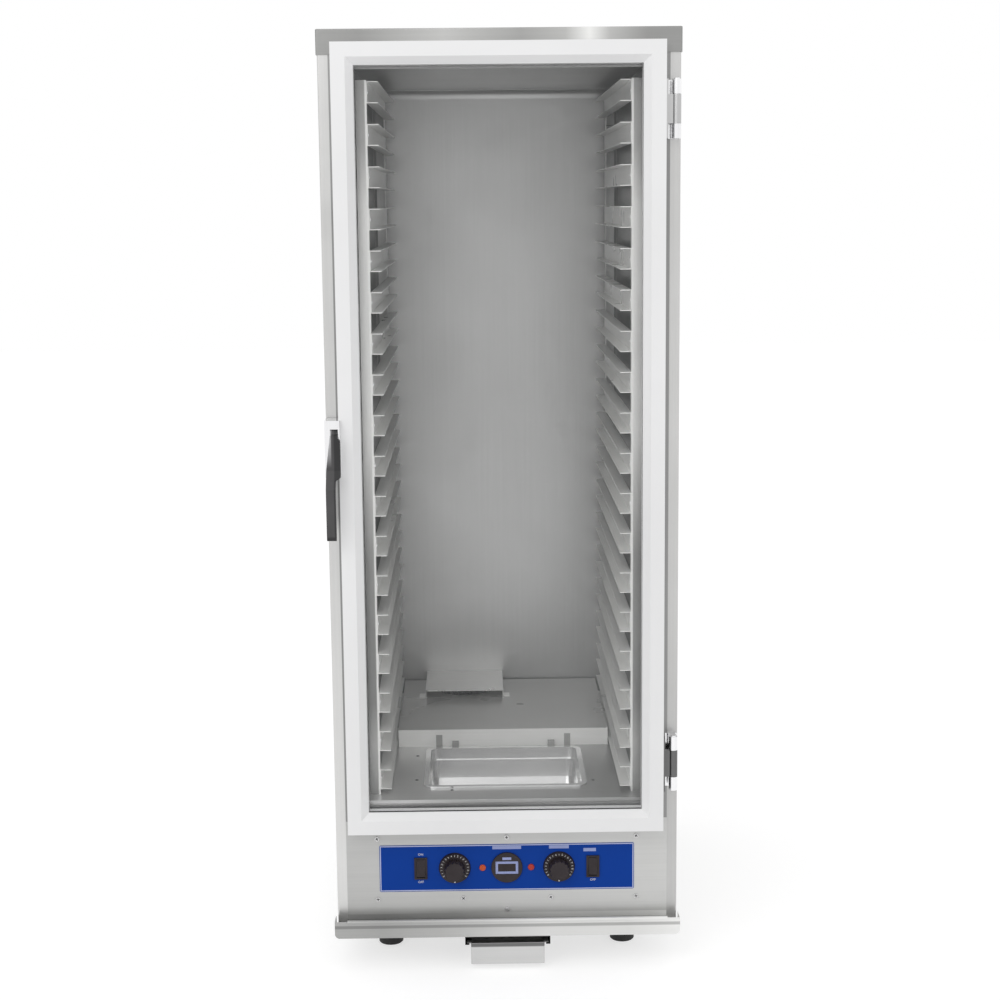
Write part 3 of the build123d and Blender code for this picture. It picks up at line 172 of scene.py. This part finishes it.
class Shader:
    """A material's node tree, with short calls for the nodes that the finishes share."""

    def __init__(self, name):
        self.material = bpy.data.materials.new(name)
        self.material.use_nodes = True
        self.nodes = self.material.node_tree.nodes
        self.links = self.material.node_tree.links
        self.surface = self.nodes["Principled BSDF"]

    def set(self, **values):
        for key, value in values.items():
            self.surface.inputs[key.replace("_", " ")].default_value = value

    def link(self, output, socket):
        self.links.new(output, self.surface.inputs[socket])

    def place(self, scale):
        """Coordinates of a point of the piece in metres, stretched by a factor on each axis."""
        coordinates = self.nodes.new("ShaderNodeTexCoord")
        mapping = self.nodes.new("ShaderNodeMapping")
        mapping.inputs["Scale"].default_value = scale
        self.links.new(coordinates.outputs["Object"], mapping.inputs["Vector"])
        return mapping.outputs["Vector"]

    def along(self, axis, source="Object"):
        """One coordinate of a point, or of its normal."""
        coordinates = self.nodes.new("ShaderNodeTexCoord")
        split = self.nodes.new("ShaderNodeSeparateXYZ")
        self.links.new(coordinates.outputs[source], split.inputs[0])
        return split.outputs[axis]

    def size_of(self, value):
        """A number without its sign."""
        node = self.nodes.new("ShaderNodeMath")
        node.operation = "ABSOLUTE"
        self.links.new(value, node.inputs[0])
        return node.outputs[0]

    def spread(self, value, low, high):
        """A number from low to high turned into one from 0 to 1."""
        node = self.nodes.new("ShaderNodeMapRange")
        node.inputs["From Min"].default_value = low
        node.inputs["From Max"].default_value = high
        self.links.new(value, node.inputs["Value"])
        return node.outputs[0]

    def noise(self, scale, stretch=(1, 1, 1), detail=3.0, roughness=0.5):
        texture = self.nodes.new("ShaderNodeTexNoise")
        texture.inputs["Scale"].default_value = scale
        texture.inputs["Detail"].default_value = detail
        texture.inputs["Roughness"].default_value = roughness
        self.links.new(self.place(stretch), texture.inputs["Vector"])
        return texture.outputs["Fac"]

    def ramp(self, factor, stops):
        """Colour or grey that runs through the given (position, value) stops."""
        node = self.nodes.new("ShaderNodeValToRGB")
        elements = node.color_ramp.elements
        while len(elements) < len(stops):
            elements.new(0.5)
        for element, (position, value) in zip(elements, stops):
            element.position = position
            element.color = (*value, 1) if isinstance(value, tuple) else (value, value, value, 1)
        self.links.new(factor, node.inputs["Fac"])
        return node.outputs["Color"]

    def blend(self, factor, first, second, mode="MIX"):
        """Mix two colours, each an output or three numbers."""
        node = self.nodes.new("ShaderNodeMix")
        node.data_type = "RGBA"
        node.blend_type = mode
        for socket, value in ((node.inputs[6], first), (node.inputs[7], second)):
            if isinstance(value, tuple):
                socket.default_value = (*value, 1)
            else:
                self.links.new(value, socket)
        if isinstance(factor, float):
            node.inputs[0].default_value = factor
        else:
            self.links.new(factor, node.inputs[0])
        return node.outputs[2]

    def bump(self, height, strength, distance):
        node = self.nodes.new("ShaderNodeBump")
        node.inputs["Strength"].default_value = strength
        node.inputs["Distance"].default_value = distance
        self.links.new(height, node.inputs["Height"])
        self.link(node.outputs["Normal"], "Normal")


def across(axis, half, bands):
    """Painted light and shade that runs through the given bands from one end of an axis to the other."""
    return lambda shader: shader.ramp(shader.spread(shader.along(axis), -half, half), bands)


def by_face(flat, front, side):
    """Painted shade of sheet: its level, front and side faces are made lighter or darker, as light falls on
    them.
    """
    def tone(shader):
        level = shader.size_of(shader.along("Z", "Normal"))
        ahead = shader.size_of(shader.along("Y", "Normal"))
        upright = shader.blend(shader.ramp(ahead, [(0.4, 0.0), (0.8, 1.0)]), (side,) * 3, (front,) * 3)
        return shader.blend(shader.ramp(level, [(0.4, 0.0), (0.8, 1.0)]), upright, (flat,) * 3)
    return tone


def brushed_metal(name, dark, light, grain, roughness=(0.28, 0.42), metallic=1.0, bump=0.05, tone=None):
    """Sheet metal with a fine grain along one axis, soft clouding and, where asked for, a broad tone of
    painted light and shade.
    """
    stretch = [GRAIN_ACROSS, GRAIN_ACROSS, GRAIN_ACROSS]
    stretch["XYZ".index(grain)] = GRAIN_ALONG
    shader = Shader(name)
    lines = shader.noise(1.0, tuple(stretch), detail=2.0)
    clouds = shader.noise(METAL_CLOUDS, detail=4.0, roughness=0.6)
    colour = shader.ramp(clouds, [(0.3, dark), (0.7, light)])
    if tone:
        colour = shader.blend(1.0, colour, tone(shader), "MULTIPLY")
    line_colour = shader.ramp(lines, [(0.3, 0.92), (0.7, 1.0)])
    shader.link(shader.blend(0.55, colour, line_colour, "MULTIPLY"), "Base Color")
    shader.link(shader.ramp(clouds, [(0.3, roughness[0]), (0.75, roughness[1])]), "Roughness")
    shader.set(Metallic=metallic)
    shader.bump(lines, bump, GRAIN_DEPTH)
    return shader.material


def painted(name, colour, roughness=0.38, peel=0.12, shine=0.5):
    """Powder coat with a faint orange peel and slightly worn, greyer patches."""
    shader = Shader(name)
    worn = tuple(value * 0.95 for value in colour)
    patches = shader.noise(WORN_PATCHES, detail=5.0)
    shader.link(shader.ramp(patches, [(0.35, worn), (0.6, colour)]), "Base Color")
    shader.link(shader.ramp(patches, [(0.3, roughness + 0.08), (0.7, roughness)]), "Roughness")
    shader.bump(shader.noise(ORANGE_PEEL, detail=1.0), peel, PEEL_DEPTH)
    shader.set(Specular_IOR_Level=shine)
    return shader.material


def moulded(name, colour, roughness=0.45, grain=0.2, shine=0.5):
    """Moulded plastic or rubber with a fine grain and a little dust in its tone."""
    shader = Shader(name)
    dusty = tuple(min(1.0, value * 1.6 + 0.012) for value in colour)
    dust = shader.noise(DUST, detail=6.0, roughness=0.65)
    shader.link(shader.ramp(dust, [(0.4, colour), (0.8, dusty)]), "Base Color")
    shader.link(shader.ramp(dust, [(0.35, roughness), (0.75, roughness + 0.15)]), "Roughness")
    shader.bump(shader.noise(MOULD_GRAIN, detail=2.0), grain, MOULD_DEPTH)
    shader.set(Specular_IOR_Level=shine)
    return shader.material


def clear_sheet(name):
    """Clear plastic sheet with faint smears."""
    shader = Shader(name)
    smear = shader.noise(SMEARS, (1.0, 1.0, 0.5), detail=4.0)
    shader.link(shader.ramp(smear, [(0.45, 0.03), (0.8, 0.09)]), "Alpha")
    shader.set(Base_Color=(0.93, 0.95, 0.95, 1), Roughness=0.12, IOR=1.45)
    return shader.material


def lens(name, left, right, half):
    """Lamp lenses, one colour on the left and one on the right, with a fine moulded sparkle."""
    shader = Shader(name)
    cells = shader.noise(SPARKLE, detail=2.0)
    hue = shader.ramp(shader.spread(shader.along("X"), -half, half), [(0.45, left), (0.55, right)])
    sparkle = shader.ramp(cells, [(0.35, 0.75), (0.62, 1.0)])
    shader.link(shader.blend(1.0, hue, sparkle, "MULTIPLY"), "Base Color")
    shader.bump(cells, 0.4, SPARKLE_DEPTH)
    shader.set(Roughness=0.2, Specular_IOR_Level=0.35)
    return shader.material


def lever_plastic(name):
    """Charcoal moulding of the latch lever, with painted shade on its side by the door, darker at its foot,
    and a painted highlight on the outer part of its head.
    """
    shader = Shader(name)
    body = (0.075, 0.073, 0.075)
    dark = (0.027, 0.027, 0.028)
    bright = (0.62, 0.62, 0.63)
    # Painted shade: darker on the side by the door
    width = shader.spread(shader.along("X"), *LEVER_SIDES)
    side = shader.ramp(width, [(0.52, body), (0.62, dark)])
    # Painted highlight: light on the outer part of the lever's head
    head = shader.ramp(shader.spread(shader.along("Z"), *LEVER_HEAD), [(0.0, 0.0), (0.7, 1.0)])
    gleam = shader.blend(1.0, shader.ramp(width, [(0.32, 1.0), (0.42, 0.0)]), head, "MULTIPLY")
    lit_side = shader.blend(gleam, side, bright)
    foot = shader.ramp(shader.spread(shader.along("Z"), *LEVER_FOOT), [(0.35, 0.0), (0.6, 1.0)])
    dust = shader.ramp(shader.noise(LEVER_DUST, detail=5.0), [(0.35, 0.82), (0.7, 1.0)])
    shader.link(shader.blend(1.0, shader.blend(foot, dark, lit_side), dust, "MULTIPLY"), "Base Color")
    shader.bump(shader.noise(MOULD_GRAIN, detail=2.0), 0.2, MOULD_DEPTH)
    shader.set(Roughness=0.42, Specular_IOR_Level=0.35)
    return shader.material


def rack_tone(shader):
    """Painted light of an upright: painted sheen and shade in bands up its height, and a painted highlight
    along the edge where the flange folds into the web.
    """
    distance = shader.spread(shader.size_of(shader.along("X")), *RACK_FOLD)
    # Painted highlight along the fold between flange and web
    edge = shader.ramp(distance, [(0.0, 0.0), (0.18, 1.0), (0.30, 1.0), (0.38, 0.0)])
    height = shader.spread(shader.along("Z"), *RACK_HEIGHTS)
    # Painted sheen and shade in bands up the upright's height
    clouds = [(0.0, 0.26), (0.09, 0.50), (0.15, 0.26), (0.35, 0.36), (0.52, 0.88),
              (0.82, 0.92), (0.90, 0.50), (1.0, 0.42)]
    flange = shader.ramp(height, clouds)
    return shader.blend(edge, flange, (0.98, 0.98, 0.98))


def both(first, second):
    """Two tones on top of each other."""
    return lambda shader: shader.blend(1.0, first(shader), second(shader), "MULTIPLY")


def ahead_of(depth, dark):
    """Painted shade on what is folded out in front of a face."""
    def tone(shader):
        out = shader.spread(shader.along("Y"), depth - FOLD_FAR, depth - FOLD_NEAR)
        return shader.ramp(out, [(0.3, dark), (0.7, 1.0)])
    return tone


def level_band(low, high, dark):
    """Shade between two heights, as in the groove under a rolled lip or the foot of an overhang."""
    def tone(shader):
        middle = shader.spread(shader.along("Z"), low - (high - low), high + (high - low))
        return shader.ramp(middle, [(0.30, 1.0), (0.38, dark), (0.62, dark), (0.70, 1.0)])
    return tone


def finishes():
    """One material for each of the record's slots."""
    warm_dark = (0.58, 0.578, 0.57)
    warm_light = (0.65, 0.648, 0.64)
    return {
        "white_paint": painted("white_paint", (0.90, 0.90, 0.905), shine=0.3),
        "satin_aluminium": brushed_metal("satin_aluminium", warm_dark, warm_light, "Z", metallic=0.75),
        "liner_sheet": brushed_metal("liner_sheet", (0.40, 0.40, 0.398), (0.44, 0.44, 0.438), "Z",
                                     bump=0.01),
        "rack_sheet": brushed_metal("rack_sheet", (0.62, 0.62, 0.62), (0.74, 0.74, 0.74), "Y"),
        "pan_steel": brushed_metal("pan_steel", (0.82, 0.82, 0.82), (0.96, 0.96, 0.96), "X",
                                   (0.14, 0.26), 0.85),
        "bright_steel": brushed_metal("bright_steel", (0.84, 0.84, 0.85), (0.94, 0.94, 0.95), "Z",
                                      (0.12, 0.22)),
        "insulation_wool": moulded("insulation_wool", (0.70, 0.62, 0.34), 0.9, 0.8),
        "clear_sheet": clear_sheet("clear_sheet"),
        "seal_rubber": moulded("seal_rubber", (0.045, 0.045, 0.047), 0.6, shine=0.3),
        "foot_rubber": moulded("foot_rubber", (0.018, 0.018, 0.018), 0.6),
        "black_plastic": moulded("black_plastic", (0.017, 0.011, 0.013), 0.42, shine=0.35),
        "blue_overlay": painted("blue_overlay", (0.002, 0.047, 0.32), 0.4, 0.05, shine=0.12),
        "display_glass": moulded("display_glass", (0.016, 0.010, 0.011), 0.25, 0.02, shine=0.3),
        "amber_lens": lens("amber_lens", (0.62, 0.085, 0.015), (0.50, 0.035, 0.02), LAMP_X),
        "black_paint": painted("black_paint", (0.004, 0.0045, 0.0045), 0.5, shine=0.1),
        "heater_sheath": brushed_metal("heater_sheath", (0.22, 0.20, 0.19), (0.33, 0.31, 0.30), "Z",
                                       (0.3, 0.5)),
        "motor_paint": painted("motor_paint", (0.09, 0.09, 0.10)),
    }


def node_finishes():
    """Finishes of the nodes that look different from the rest of their slot; all but the screws carry
    painted light and shade.
    """
    # Painted light and shade across the widths: sheen and reflection bands on the top cap, lighter towards
    # the right on the panel and the gutter, and darker towards the right on the cavity floor
    cap_sheen_bands = [(0.0, 0.32), (0.12, 0.30), (0.35, 0.52), (0.56, 0.38), (0.68, 0.50),
                 (0.745, 0.84), (0.80, 0.50), (0.90, 0.33), (1.0, 0.33)]
    panel_shade_bands = [(0.0, 0.54), (0.45, 0.60), (1.0, 0.66)]
    gutter_sheen_bands = [(0.0, 0.46), (0.14, 0.42), (0.36, 0.55), (0.47, 0.66), (0.62, 0.78),
                    (0.85, 0.80), (1.0, 0.95)]
    floor_shade_bands = [(0.0, 1.0), (0.2, 0.92), (0.45, 0.66), (1.0, 0.48)]
    tray_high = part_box("drip_tray")[1][2]
    pale = (0.92, 0.92, 0.90)
    white = (1.0, 1.0, 0.985)
    # Painted shade: the slides' side faces are a little darker
    slide = brushed_metal("slide_sheet", pale, white, "Y", (0.25, 0.4), 0.25, tone=by_face(1.0, 1.0, 0.95))
    # Painted sheen, shade and highlight in bands up the uprights
    upright = brushed_metal("upright_sheet", pale, white, "Z", metallic=0.55, tone=rack_tone)
    # Painted shade: the duct's level and side faces darker, and a darker fold in front of its front face
    duct_shade = both(by_face(0.61, 1.0, 0.5), ahead_of(DUCT_FACE, 0.42))
    duct = brushed_metal("duct_sheet", pale, white, "X", (0.25, 0.4), 0.15, tone=duct_shade)
    # Painted shade: the hood's side faces are darker
    hood = brushed_metal("hood_sheet", pale, white, "X", (0.25, 0.4), 0.8, tone=by_face(0.95, 0.95, 0.5))
    # Painted light: the left skin is a lighter copy of the right one, and higher up the left one darkens
    # while the right one lightens
    left_skin_shade = across("Z", SKIN_REACH, [(SKIN_FADE_LOW, 1.0), (SKIN_FADE_HIGH, 0.87)])
    left_skin = brushed_metal("left_skin", (0.667, 0.665, 0.656), (0.748, 0.745, 0.736), "Z",
                              metallic=0.75, tone=left_skin_shade)
    right_skin_shade = across("Z", SKIN_REACH, [(SKIN_FADE_LOW, 0.87), (SKIN_FADE_HIGH, 1.0)])
    right_skin = brushed_metal("right_skin", (0.58, 0.578, 0.57), (0.65, 0.648, 0.64), "Z",
                               metallic=0.75, tone=right_skin_shade)
    # Painted shade: the cavity's side walls are a dark copy of the liner sheet
    shaded_wall = brushed_metal("side_liner_shade", (0.15, 0.15, 0.15), (0.19, 0.19, 0.19), "Z", bump=0.01)
    # Painted sheen across the gutter, and painted shade in the groove under its rolled lip
    gutter_sheen_and_shade = both(across("X", CABINET_HALF, gutter_sheen_bands), level_band(*LIP_GROOVE, 0.60))
    # Painted shadow along the top of the tray, under its holder
    tray_shadow = level_band(tray_high - TRAY_SHADE, tray_high, 0.26)
    # Painted reflection and shade: the hinge leaves are darker low down and full tone higher up
    hinge_reflection = across("Z", HINGE_REACH, [(0.70, 0.30), (0.80, 1.0)])
    return {
        # Painted sheen on the top cap, and painted light and shade on the panel, gutter, tray and cavity
        # floor
        "top_cap": brushed_metal("cap_sheet", pale, white, "X", tone=across("X", CABINET_HALF, cap_sheen_bands)),
        "control_panel": brushed_metal("panel_sheet", pale, white, "X", metallic=0.4, bump=0.03,
                                       tone=across("X", CABINET_HALF, panel_shade_bands)),
        "drip_gutter": brushed_metal("gutter_sheet", pale, white, "X", metallic=0.4, bump=0.03,
                                     tone=gutter_sheen_and_shade),
        "drip_tray": brushed_metal("tray_sheet", (0.64, 0.64, 0.635), (0.70, 0.70, 0.695), "X",
                                   metallic=0.7, tone=tray_shadow),
        "cavity_floor": brushed_metal("floor_sheet", (0.76, 0.76, 0.755), (0.86, 0.86, 0.855), "X",
                                      metallic=0.8, bump=0.02, tone=across("X", CAVITY_HALF, floor_shade_bands)),
        "screws": brushed_metal("screw_steel", (0.50, 0.50, 0.50), (0.66, 0.66, 0.66), "Z", (0.2, 0.3)),
        # Painted shade: the front frame of the mouth is dark grey for the shade behind the door
        "front_frame": brushed_metal("mouth_sheet_shade", (0.26, 0.26, 0.258), (0.32, 0.32, 0.318), "Z"),
        "side_panel_left": left_skin,
        "side_panel_right": right_skin,
        "pan_slides_left": slide,
        "pan_slides_right": slide,
        "uprights_left": upright,
        "uprights_right": upright,
        "duct_cover": duct,
        "inlet_hood": hood,
        "liner_left": shaded_wall,
        "liner_right": shaded_wall,
        "hinge_door_leaves": brushed_metal("hinge_leaf", (0.50, 0.50, 0.50), (0.58, 0.58, 0.58), "Z",
                                           tone=hinge_reflection),
        "latch_lever": lever_plastic("lever_plastic"),
    }


def dress(materials, special):
    """Give every CAD node its own finish, or that of its material slot."""
    for part in frame["record"]["subparts"]:
        node = NODES[part["node"]]
        node.data.materials.clear()
        node.data.materials.append(special.get(part["node"], materials[part["material_slot"]]))


def add_piece(name, points, faces, body, material):
    """Make a mesh piece that rides on a body and takes the given material."""
    mesh = bpy.data.meshes.new(name)
    mesh.from_pydata([tuple(point) for point in points], [], faces)
    sheet = bmesh.new()
    sheet.from_mesh(mesh)
    bmesh.ops.recalc_face_normals(sheet, faces=sheet.faces)
    sheet.to_mesh(mesh)
    sheet.free()
    mesh.materials.append(material)
    piece = bpy.data.objects.new(name, mesh)
    bpy.context.scene.collection.objects.link(piece)
    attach(piece, body)
    return piece


class Print:
    """Thin raised print on the front of a node, drawn as seen from the front and laid on the surface."""

    def __init__(self, node):
        mesh = NODES[node].data
        corners = [vertex.co for vertex in mesh.vertices]
        self.surface = BVHTree.FromPolygons(corners, [face.vertices for face in mesh.polygons])
        self.ahead = min(corner.y for corner in corners) - 1
        self.points = []
        self.faces = []

    def depth(self, x, z):
        hit = self.surface.ray_cast(Vector((x, self.ahead, z)), Vector((0, 1, 0)))
        return hit[0].y

    def outline(self, corners):
        """Add a plate with the given corners."""
        first = len(self.points)
        count = len(corners)
        for shift in (-PRINT_RISE, PRINT_BITE):
            self.points += [(x, self.depth(x, z) + shift, z) for x, z in corners]
        self.faces.append([first + i for i in range(count)])
        self.faces.append([first + count + i for i in reversed(range(count))])
        for i in range(count):
            after = (i + 1) % count
            self.faces.append([first + i, first + count + i, first + count + after, first + after])

    def block(self, centre, size, turn=0.0):
        """Add a rectangle about a centre, turned by an angle."""
        half_x, half_z = size[0] / 2, size[1] / 2
        corners = [(-half_x, -half_z), (half_x, -half_z), (half_x, half_z), (-half_x, half_z)]
        self.outline([turned(corner, centre, turn) for corner in corners])

    def ring(self, centre, outer, inner):
        """Add a rectangular border between an outer and an inner size."""
        wide = (outer[0] - inner[0]) / 2
        high = (outer[1] - inner[1]) / 2
        for side in (-1, 1):
            level = centre[1] + side * (outer[1] - high) / 2
            self.block((centre[0], level), (outer[0], high))
            self.block((centre[0] + side * (outer[0] - wide) / 2, centre[1]), (wide, inner[1]))

    def words(self, text, size, centre, turn=0.0):
        """Add plain lettering."""
        curve = bpy.data.curves.new("words", "FONT")
        curve.body = text
        curve.size = size
        curve.align_x = "CENTER"
        curve.align_y = "CENTER"
        curve.resolution_u = 2
        curve.extrude = PRINT_RISE / 2
        holder = bpy.data.objects.new("words", curve)
        bpy.context.scene.collection.objects.link(holder)
        bpy.context.view_layer.update()
        mesh = bpy.data.meshes.new_from_object(holder)
        first = len(self.points)
        for vertex in mesh.vertices:
            x, z = turned((vertex.co.x, vertex.co.y), centre, turn)
            rise = -PRINT_RISE if vertex.co.z > 0 else PRINT_BITE
            self.points.append((x, self.depth(x, z) + rise, z))
        self.faces += [[first + i for i in face.vertices] for face in mesh.polygons]
        bpy.data.objects.remove(holder)
        bpy.data.meshes.remove(mesh)
        bpy.data.curves.remove(curve)

    def finish(self, name, body, material):
        add_piece(name, self.points, self.faces, body, material)


def turned(corner, centre, turn):
    """A corner turned by an angle and moved to a centre."""
    x, z = corner
    return (
        centre[0] + x * math.cos(turn) - z * math.sin(turn),
        centre[1] + x * math.sin(turn) + z * math.cos(turn),
    )


def dial_print(node, centre_x, body, material):
    """Numbers and ticks round the skirt of a knob, with its index bar at the foot."""
    marks = Print(node)
    centre = (centre_x, CONTROL_LEVEL)
    half_step = DIAL_SWEEP / (2 * DIAL_NUMBERS - 2)
    for number in range(DIAL_NUMBERS):
        angle = DIAL_START - DIAL_SWEEP * number / (DIAL_NUMBERS - 1)
        place = turned((MARK_RADIUS, 0), centre, angle)
        marks.words(str(number), DIGIT_SIZE, place, angle - math.pi / 2)
        if number < DIAL_NUMBERS - 1:
            tick = turned((MARK_RADIUS, 0), centre, angle - half_step)
            marks.block(tick, TICK_SIZE, angle - half_step - math.pi / 2)
    marks.block(turned((MARK_RADIUS, 0), centre, DIAL_FOOT), INDEX_SIZE)
    marks.finish(f"{body}_marks", body, material)


def fascia_print(lilac, pale, white):
    """Border, bare caption plates and switch captions of the blue overlay."""
    border = Print("control_fascia")
    centre = (0, CONTROL_LEVEL)
    outer = (2 * FASCIA_HALF_WIDTH - FASCIA_INSET, 2 * FASCIA_HALF_HEIGHT - FASCIA_INSET)
    inner = (outer[0] - 2 * FASCIA_BORDER, outer[1] - 2 * FASCIA_BORDER)
    border.ring(centre, outer, inner)
    border.finish("fascia_border", "cabinet", lilac)
    plates = Print("control_fascia")
    for place, level, width in CAPTION_PLATES:
        plates.block((place, CONTROL_LEVEL + level), (width, PLATE_HEIGHT))
    plates.finish("caption_plates", "cabinet", pale)
    captions = Print("control_fascia")
    captions.words("ON", CAPTION_SIZE, (-SWITCH_X, CONTROL_LEVEL + CAPTION_OFFSET))
    captions.words("OFF", CAPTION_SIZE, (-SWITCH_X, CONTROL_LEVEL - CAPTION_OFFSET))
    captions.words("OFF", CAPTION_SIZE, (SWITCH_X, CONTROL_LEVEL - CAPTION_OFFSET))
    captions.finish("fascia_captions", "cabinet", white)


def gauge_print(pale):
    """Pale border round the display and the bare plate above it."""
    border = Print("thermometer_window")
    border.ring((0, CONTROL_LEVEL), DISPLAY_OUTER, DISPLAY_INNER)
    border.finish("display_border", "cabinet", pale)
    plate = Print("thermometer_case")
    plate.block((0, CONTROL_LEVEL + GAUGE_PLATE_RISE), GAUGE_PLATE_SIZE)
    plate.finish("gauge_plate", "cabinet", pale)


def screw_recesses(material):
    """Cross recesses of the panel's screws, as thin dark plates of painted shade on their heads."""
    crosses = Print("screws")
    outer = SCREW_OUTER_X
    inner = SCREW_INNER_X
    upper = [(x, SCREW_UPPER_LEVEL) for x in (-outer, 0, outer)]
    lower = [(x, SCREW_LOWER_LEVEL) for x in (-outer, -inner, inner, outer)]
    for place in upper + lower:
        turn = random.uniform(0, math.pi / 2)
        arm = [(-CROSS_HALF, CROSS_REACH), (-CROSS_HALF, CROSS_HALF), (-CROSS_REACH, CROSS_HALF)]
        corners = []
        for quarter in range(4):
            corners += [turned(corner, (0, 0), quarter * math.pi / 2) for corner in arm]
        crosses.outline([turned(corner, place, turn) for corner in corners])
    crosses.finish("screw_recesses", "cabinet", material)


def floor_rivets(material):
    """Domed rivet heads in the floor of the heated space."""
    points, faces = [], []
    rings, segments = RIVET_RINGS, RIVET_SEGMENTS
    for x, y in FLOOR_RIVETS:
        first = len(points)
        for ring in range(rings):
            angle = ring / rings * math.pi / 2
            radius = RIVET_RADIUS * math.cos(angle)
            level = FLOOR_LEVEL + RIVET_RISE * math.sin(angle)
            for step in range(segments):
                way = 2 * math.pi * step / segments
                points.append((x + radius * math.cos(way), y + radius * math.sin(way), level))
        points.append((x, y, FLOOR_LEVEL + RIVET_RISE))
        faces.append([first + step for step in reversed(range(segments))])
        for ring in range(rings - 1):
            low = first + ring * segments
            for step in range(segments):
                after = (step + 1) % segments
                faces.append([low + step, low + after, low + segments + after, low + segments + step])
        last = first + (rings - 1) * segments
        tip = first + rings * segments
        faces += [[last + step, last + (step + 1) % segments, tip] for step in range(segments)]
    piece = add_piece("floor_rivets", points, faces, "cabinet", material)
    for face in piece.data.polygons:
        face.use_smooth = len(face.vertices) < segments


def seen(nodes, links):
    """1 for what the camera sees itself, in a reflection or through clear sheet, and else 0."""
    rays = nodes.new("ShaderNodeLightPath")
    result = rays.outputs["Is Camera Ray"]
    for kind in ("Is Transmission Ray", "Is Glossy Ray"):
        either = nodes.new("ShaderNodeMath")
        either.operation = "MAXIMUM"
        links.new(result, either.inputs[0])
        links.new(rays.outputs[kind], either.inputs[1])
        result = either.outputs[0]
    return result


def switched(nodes, links, unseen_value, seen_value):
    """One number for what is seen directly and another for the light that it gives."""
    node = nodes.new("ShaderNodeMapRange")
    node.inputs["To Min"].default_value = unseen_value
    node.inputs["To Max"].default_value = seen_value
    links.new(seen(nodes, links), node.inputs["Value"])
    return node.outputs[0]


def studio():
    """White floor and background, even light all round and one soft lamp from the upper left."""
    scene = bpy.context.scene
    scene.view_settings.view_transform = "Standard"
    world = bpy.data.worlds.new("studio")
    world.use_nodes = True
    scene.world = world
    nodes, links = world.node_tree.nodes, world.node_tree.links
    background = nodes["Background"]
    links.new(switched(nodes, links, AMBIENT, BACKGROUND), background.inputs["Strength"])
    background.inputs["Color"].default_value = (1, 1, 1, 1)

    bpy.ops.mesh.primitive_plane_add(size=FLOOR_SIZE, location=(0, 0, 0))
    floor = bpy.context.object
    floor.name = "studio_floor"
    shader = Shader("studio_floor")
    albedo = switched(shader.nodes, shader.links, FLOOR_ALBEDO, FLOOR_SEEN_ALBEDO)
    shader.link(albedo, "Base Color")
    shader.link(switched(shader.nodes, shader.links, 0.0, FLOOR_GLOW), "Emission Strength")
    shader.set(Roughness=1.0, Specular_IOR_Level=0.0, Emission_Color=(1, 1, 1, 1))
    floor.data.materials.append(shader.material)

    lamp = bpy.data.lights.new("key", "AREA")
    lamp.energy = KEY_POWER
    lamp.size = KEY_SIZE
    key = bpy.data.objects.new("key", lamp)
    scene.collection.objects.link(key)
    key.location = KEY_PLACE
    aim = Vector(KEY_AIM) - Vector(KEY_PLACE)
    key.rotation_mode = "QUATERNION"
    key.rotation_quaternion = aim.to_track_quat("-Z", "Y")


def camera():
    """Camera at the photograph's place and angle."""
    yaw, pitch, roll = (math.radians(a) for a in (CAMERA_YAW, CAMERA_PITCH, CAMERA_ROLL))
    forward = Vector((math.sin(yaw) * math.cos(pitch), math.cos(yaw) * math.cos(pitch), -math.sin(pitch)))
    level_right = Vector((math.cos(yaw), -math.sin(yaw), 0))
    level_down = forward.cross(level_right)
    right = math.cos(roll) * level_right + math.sin(roll) * level_down
    down = math.cos(roll) * level_down - math.sin(roll) * level_right
    data = bpy.data.cameras.new("camera")
    data.sensor_width = SENSOR
    data.lens = CAMERA_LENS
    data.clip_end = CAMERA_REACH
    eye = bpy.data.objects.new("camera", data)
    bpy.context.scene.collection.objects.link(eye)
    turn = Matrix((right, -down, -forward)).transposed().to_4x4()
    eye.matrix_world = Matrix.Translation(Vector(CAMERA_PLACE)) @ turn
    bpy.context.scene.camera = eye


def prints():
    """Everything printed on the front, the painted shade in the recesses of its screws and the rivets of
    the cavity floor.
    """
    white = painted("white_print", (0.80, 0.80, 0.80), 0.6, 0.0, shine=0.2)
    pale = painted("pale_print", (0.34, 0.39, 0.66), 0.6, 0.0, shine=0.2)
    lilac = painted("lilac_print", (0.52, 0.56, 0.76), 0.6, 0.0, shine=0.2)
    recess = moulded("recess_shadow", (0.05, 0.05, 0.05), 0.7, 0.0, shine=0.2)
    rivet = brushed_metal("rivet_metal", (0.10, 0.10, 0.10), (0.18, 0.18, 0.18), "X")
    dial_print("temperature_knob", -KNOB_X, "temperature_dial", white)
    dial_print("humidity_knob", KNOB_X, "humidity_dial", white)
    fascia_print(lilac, pale, white)
    gauge_print(pale)
    screw_recesses(recess)
    floor_rivets(rivet)


dress(finishes(), node_finishes())
prints()
studio()
camera()
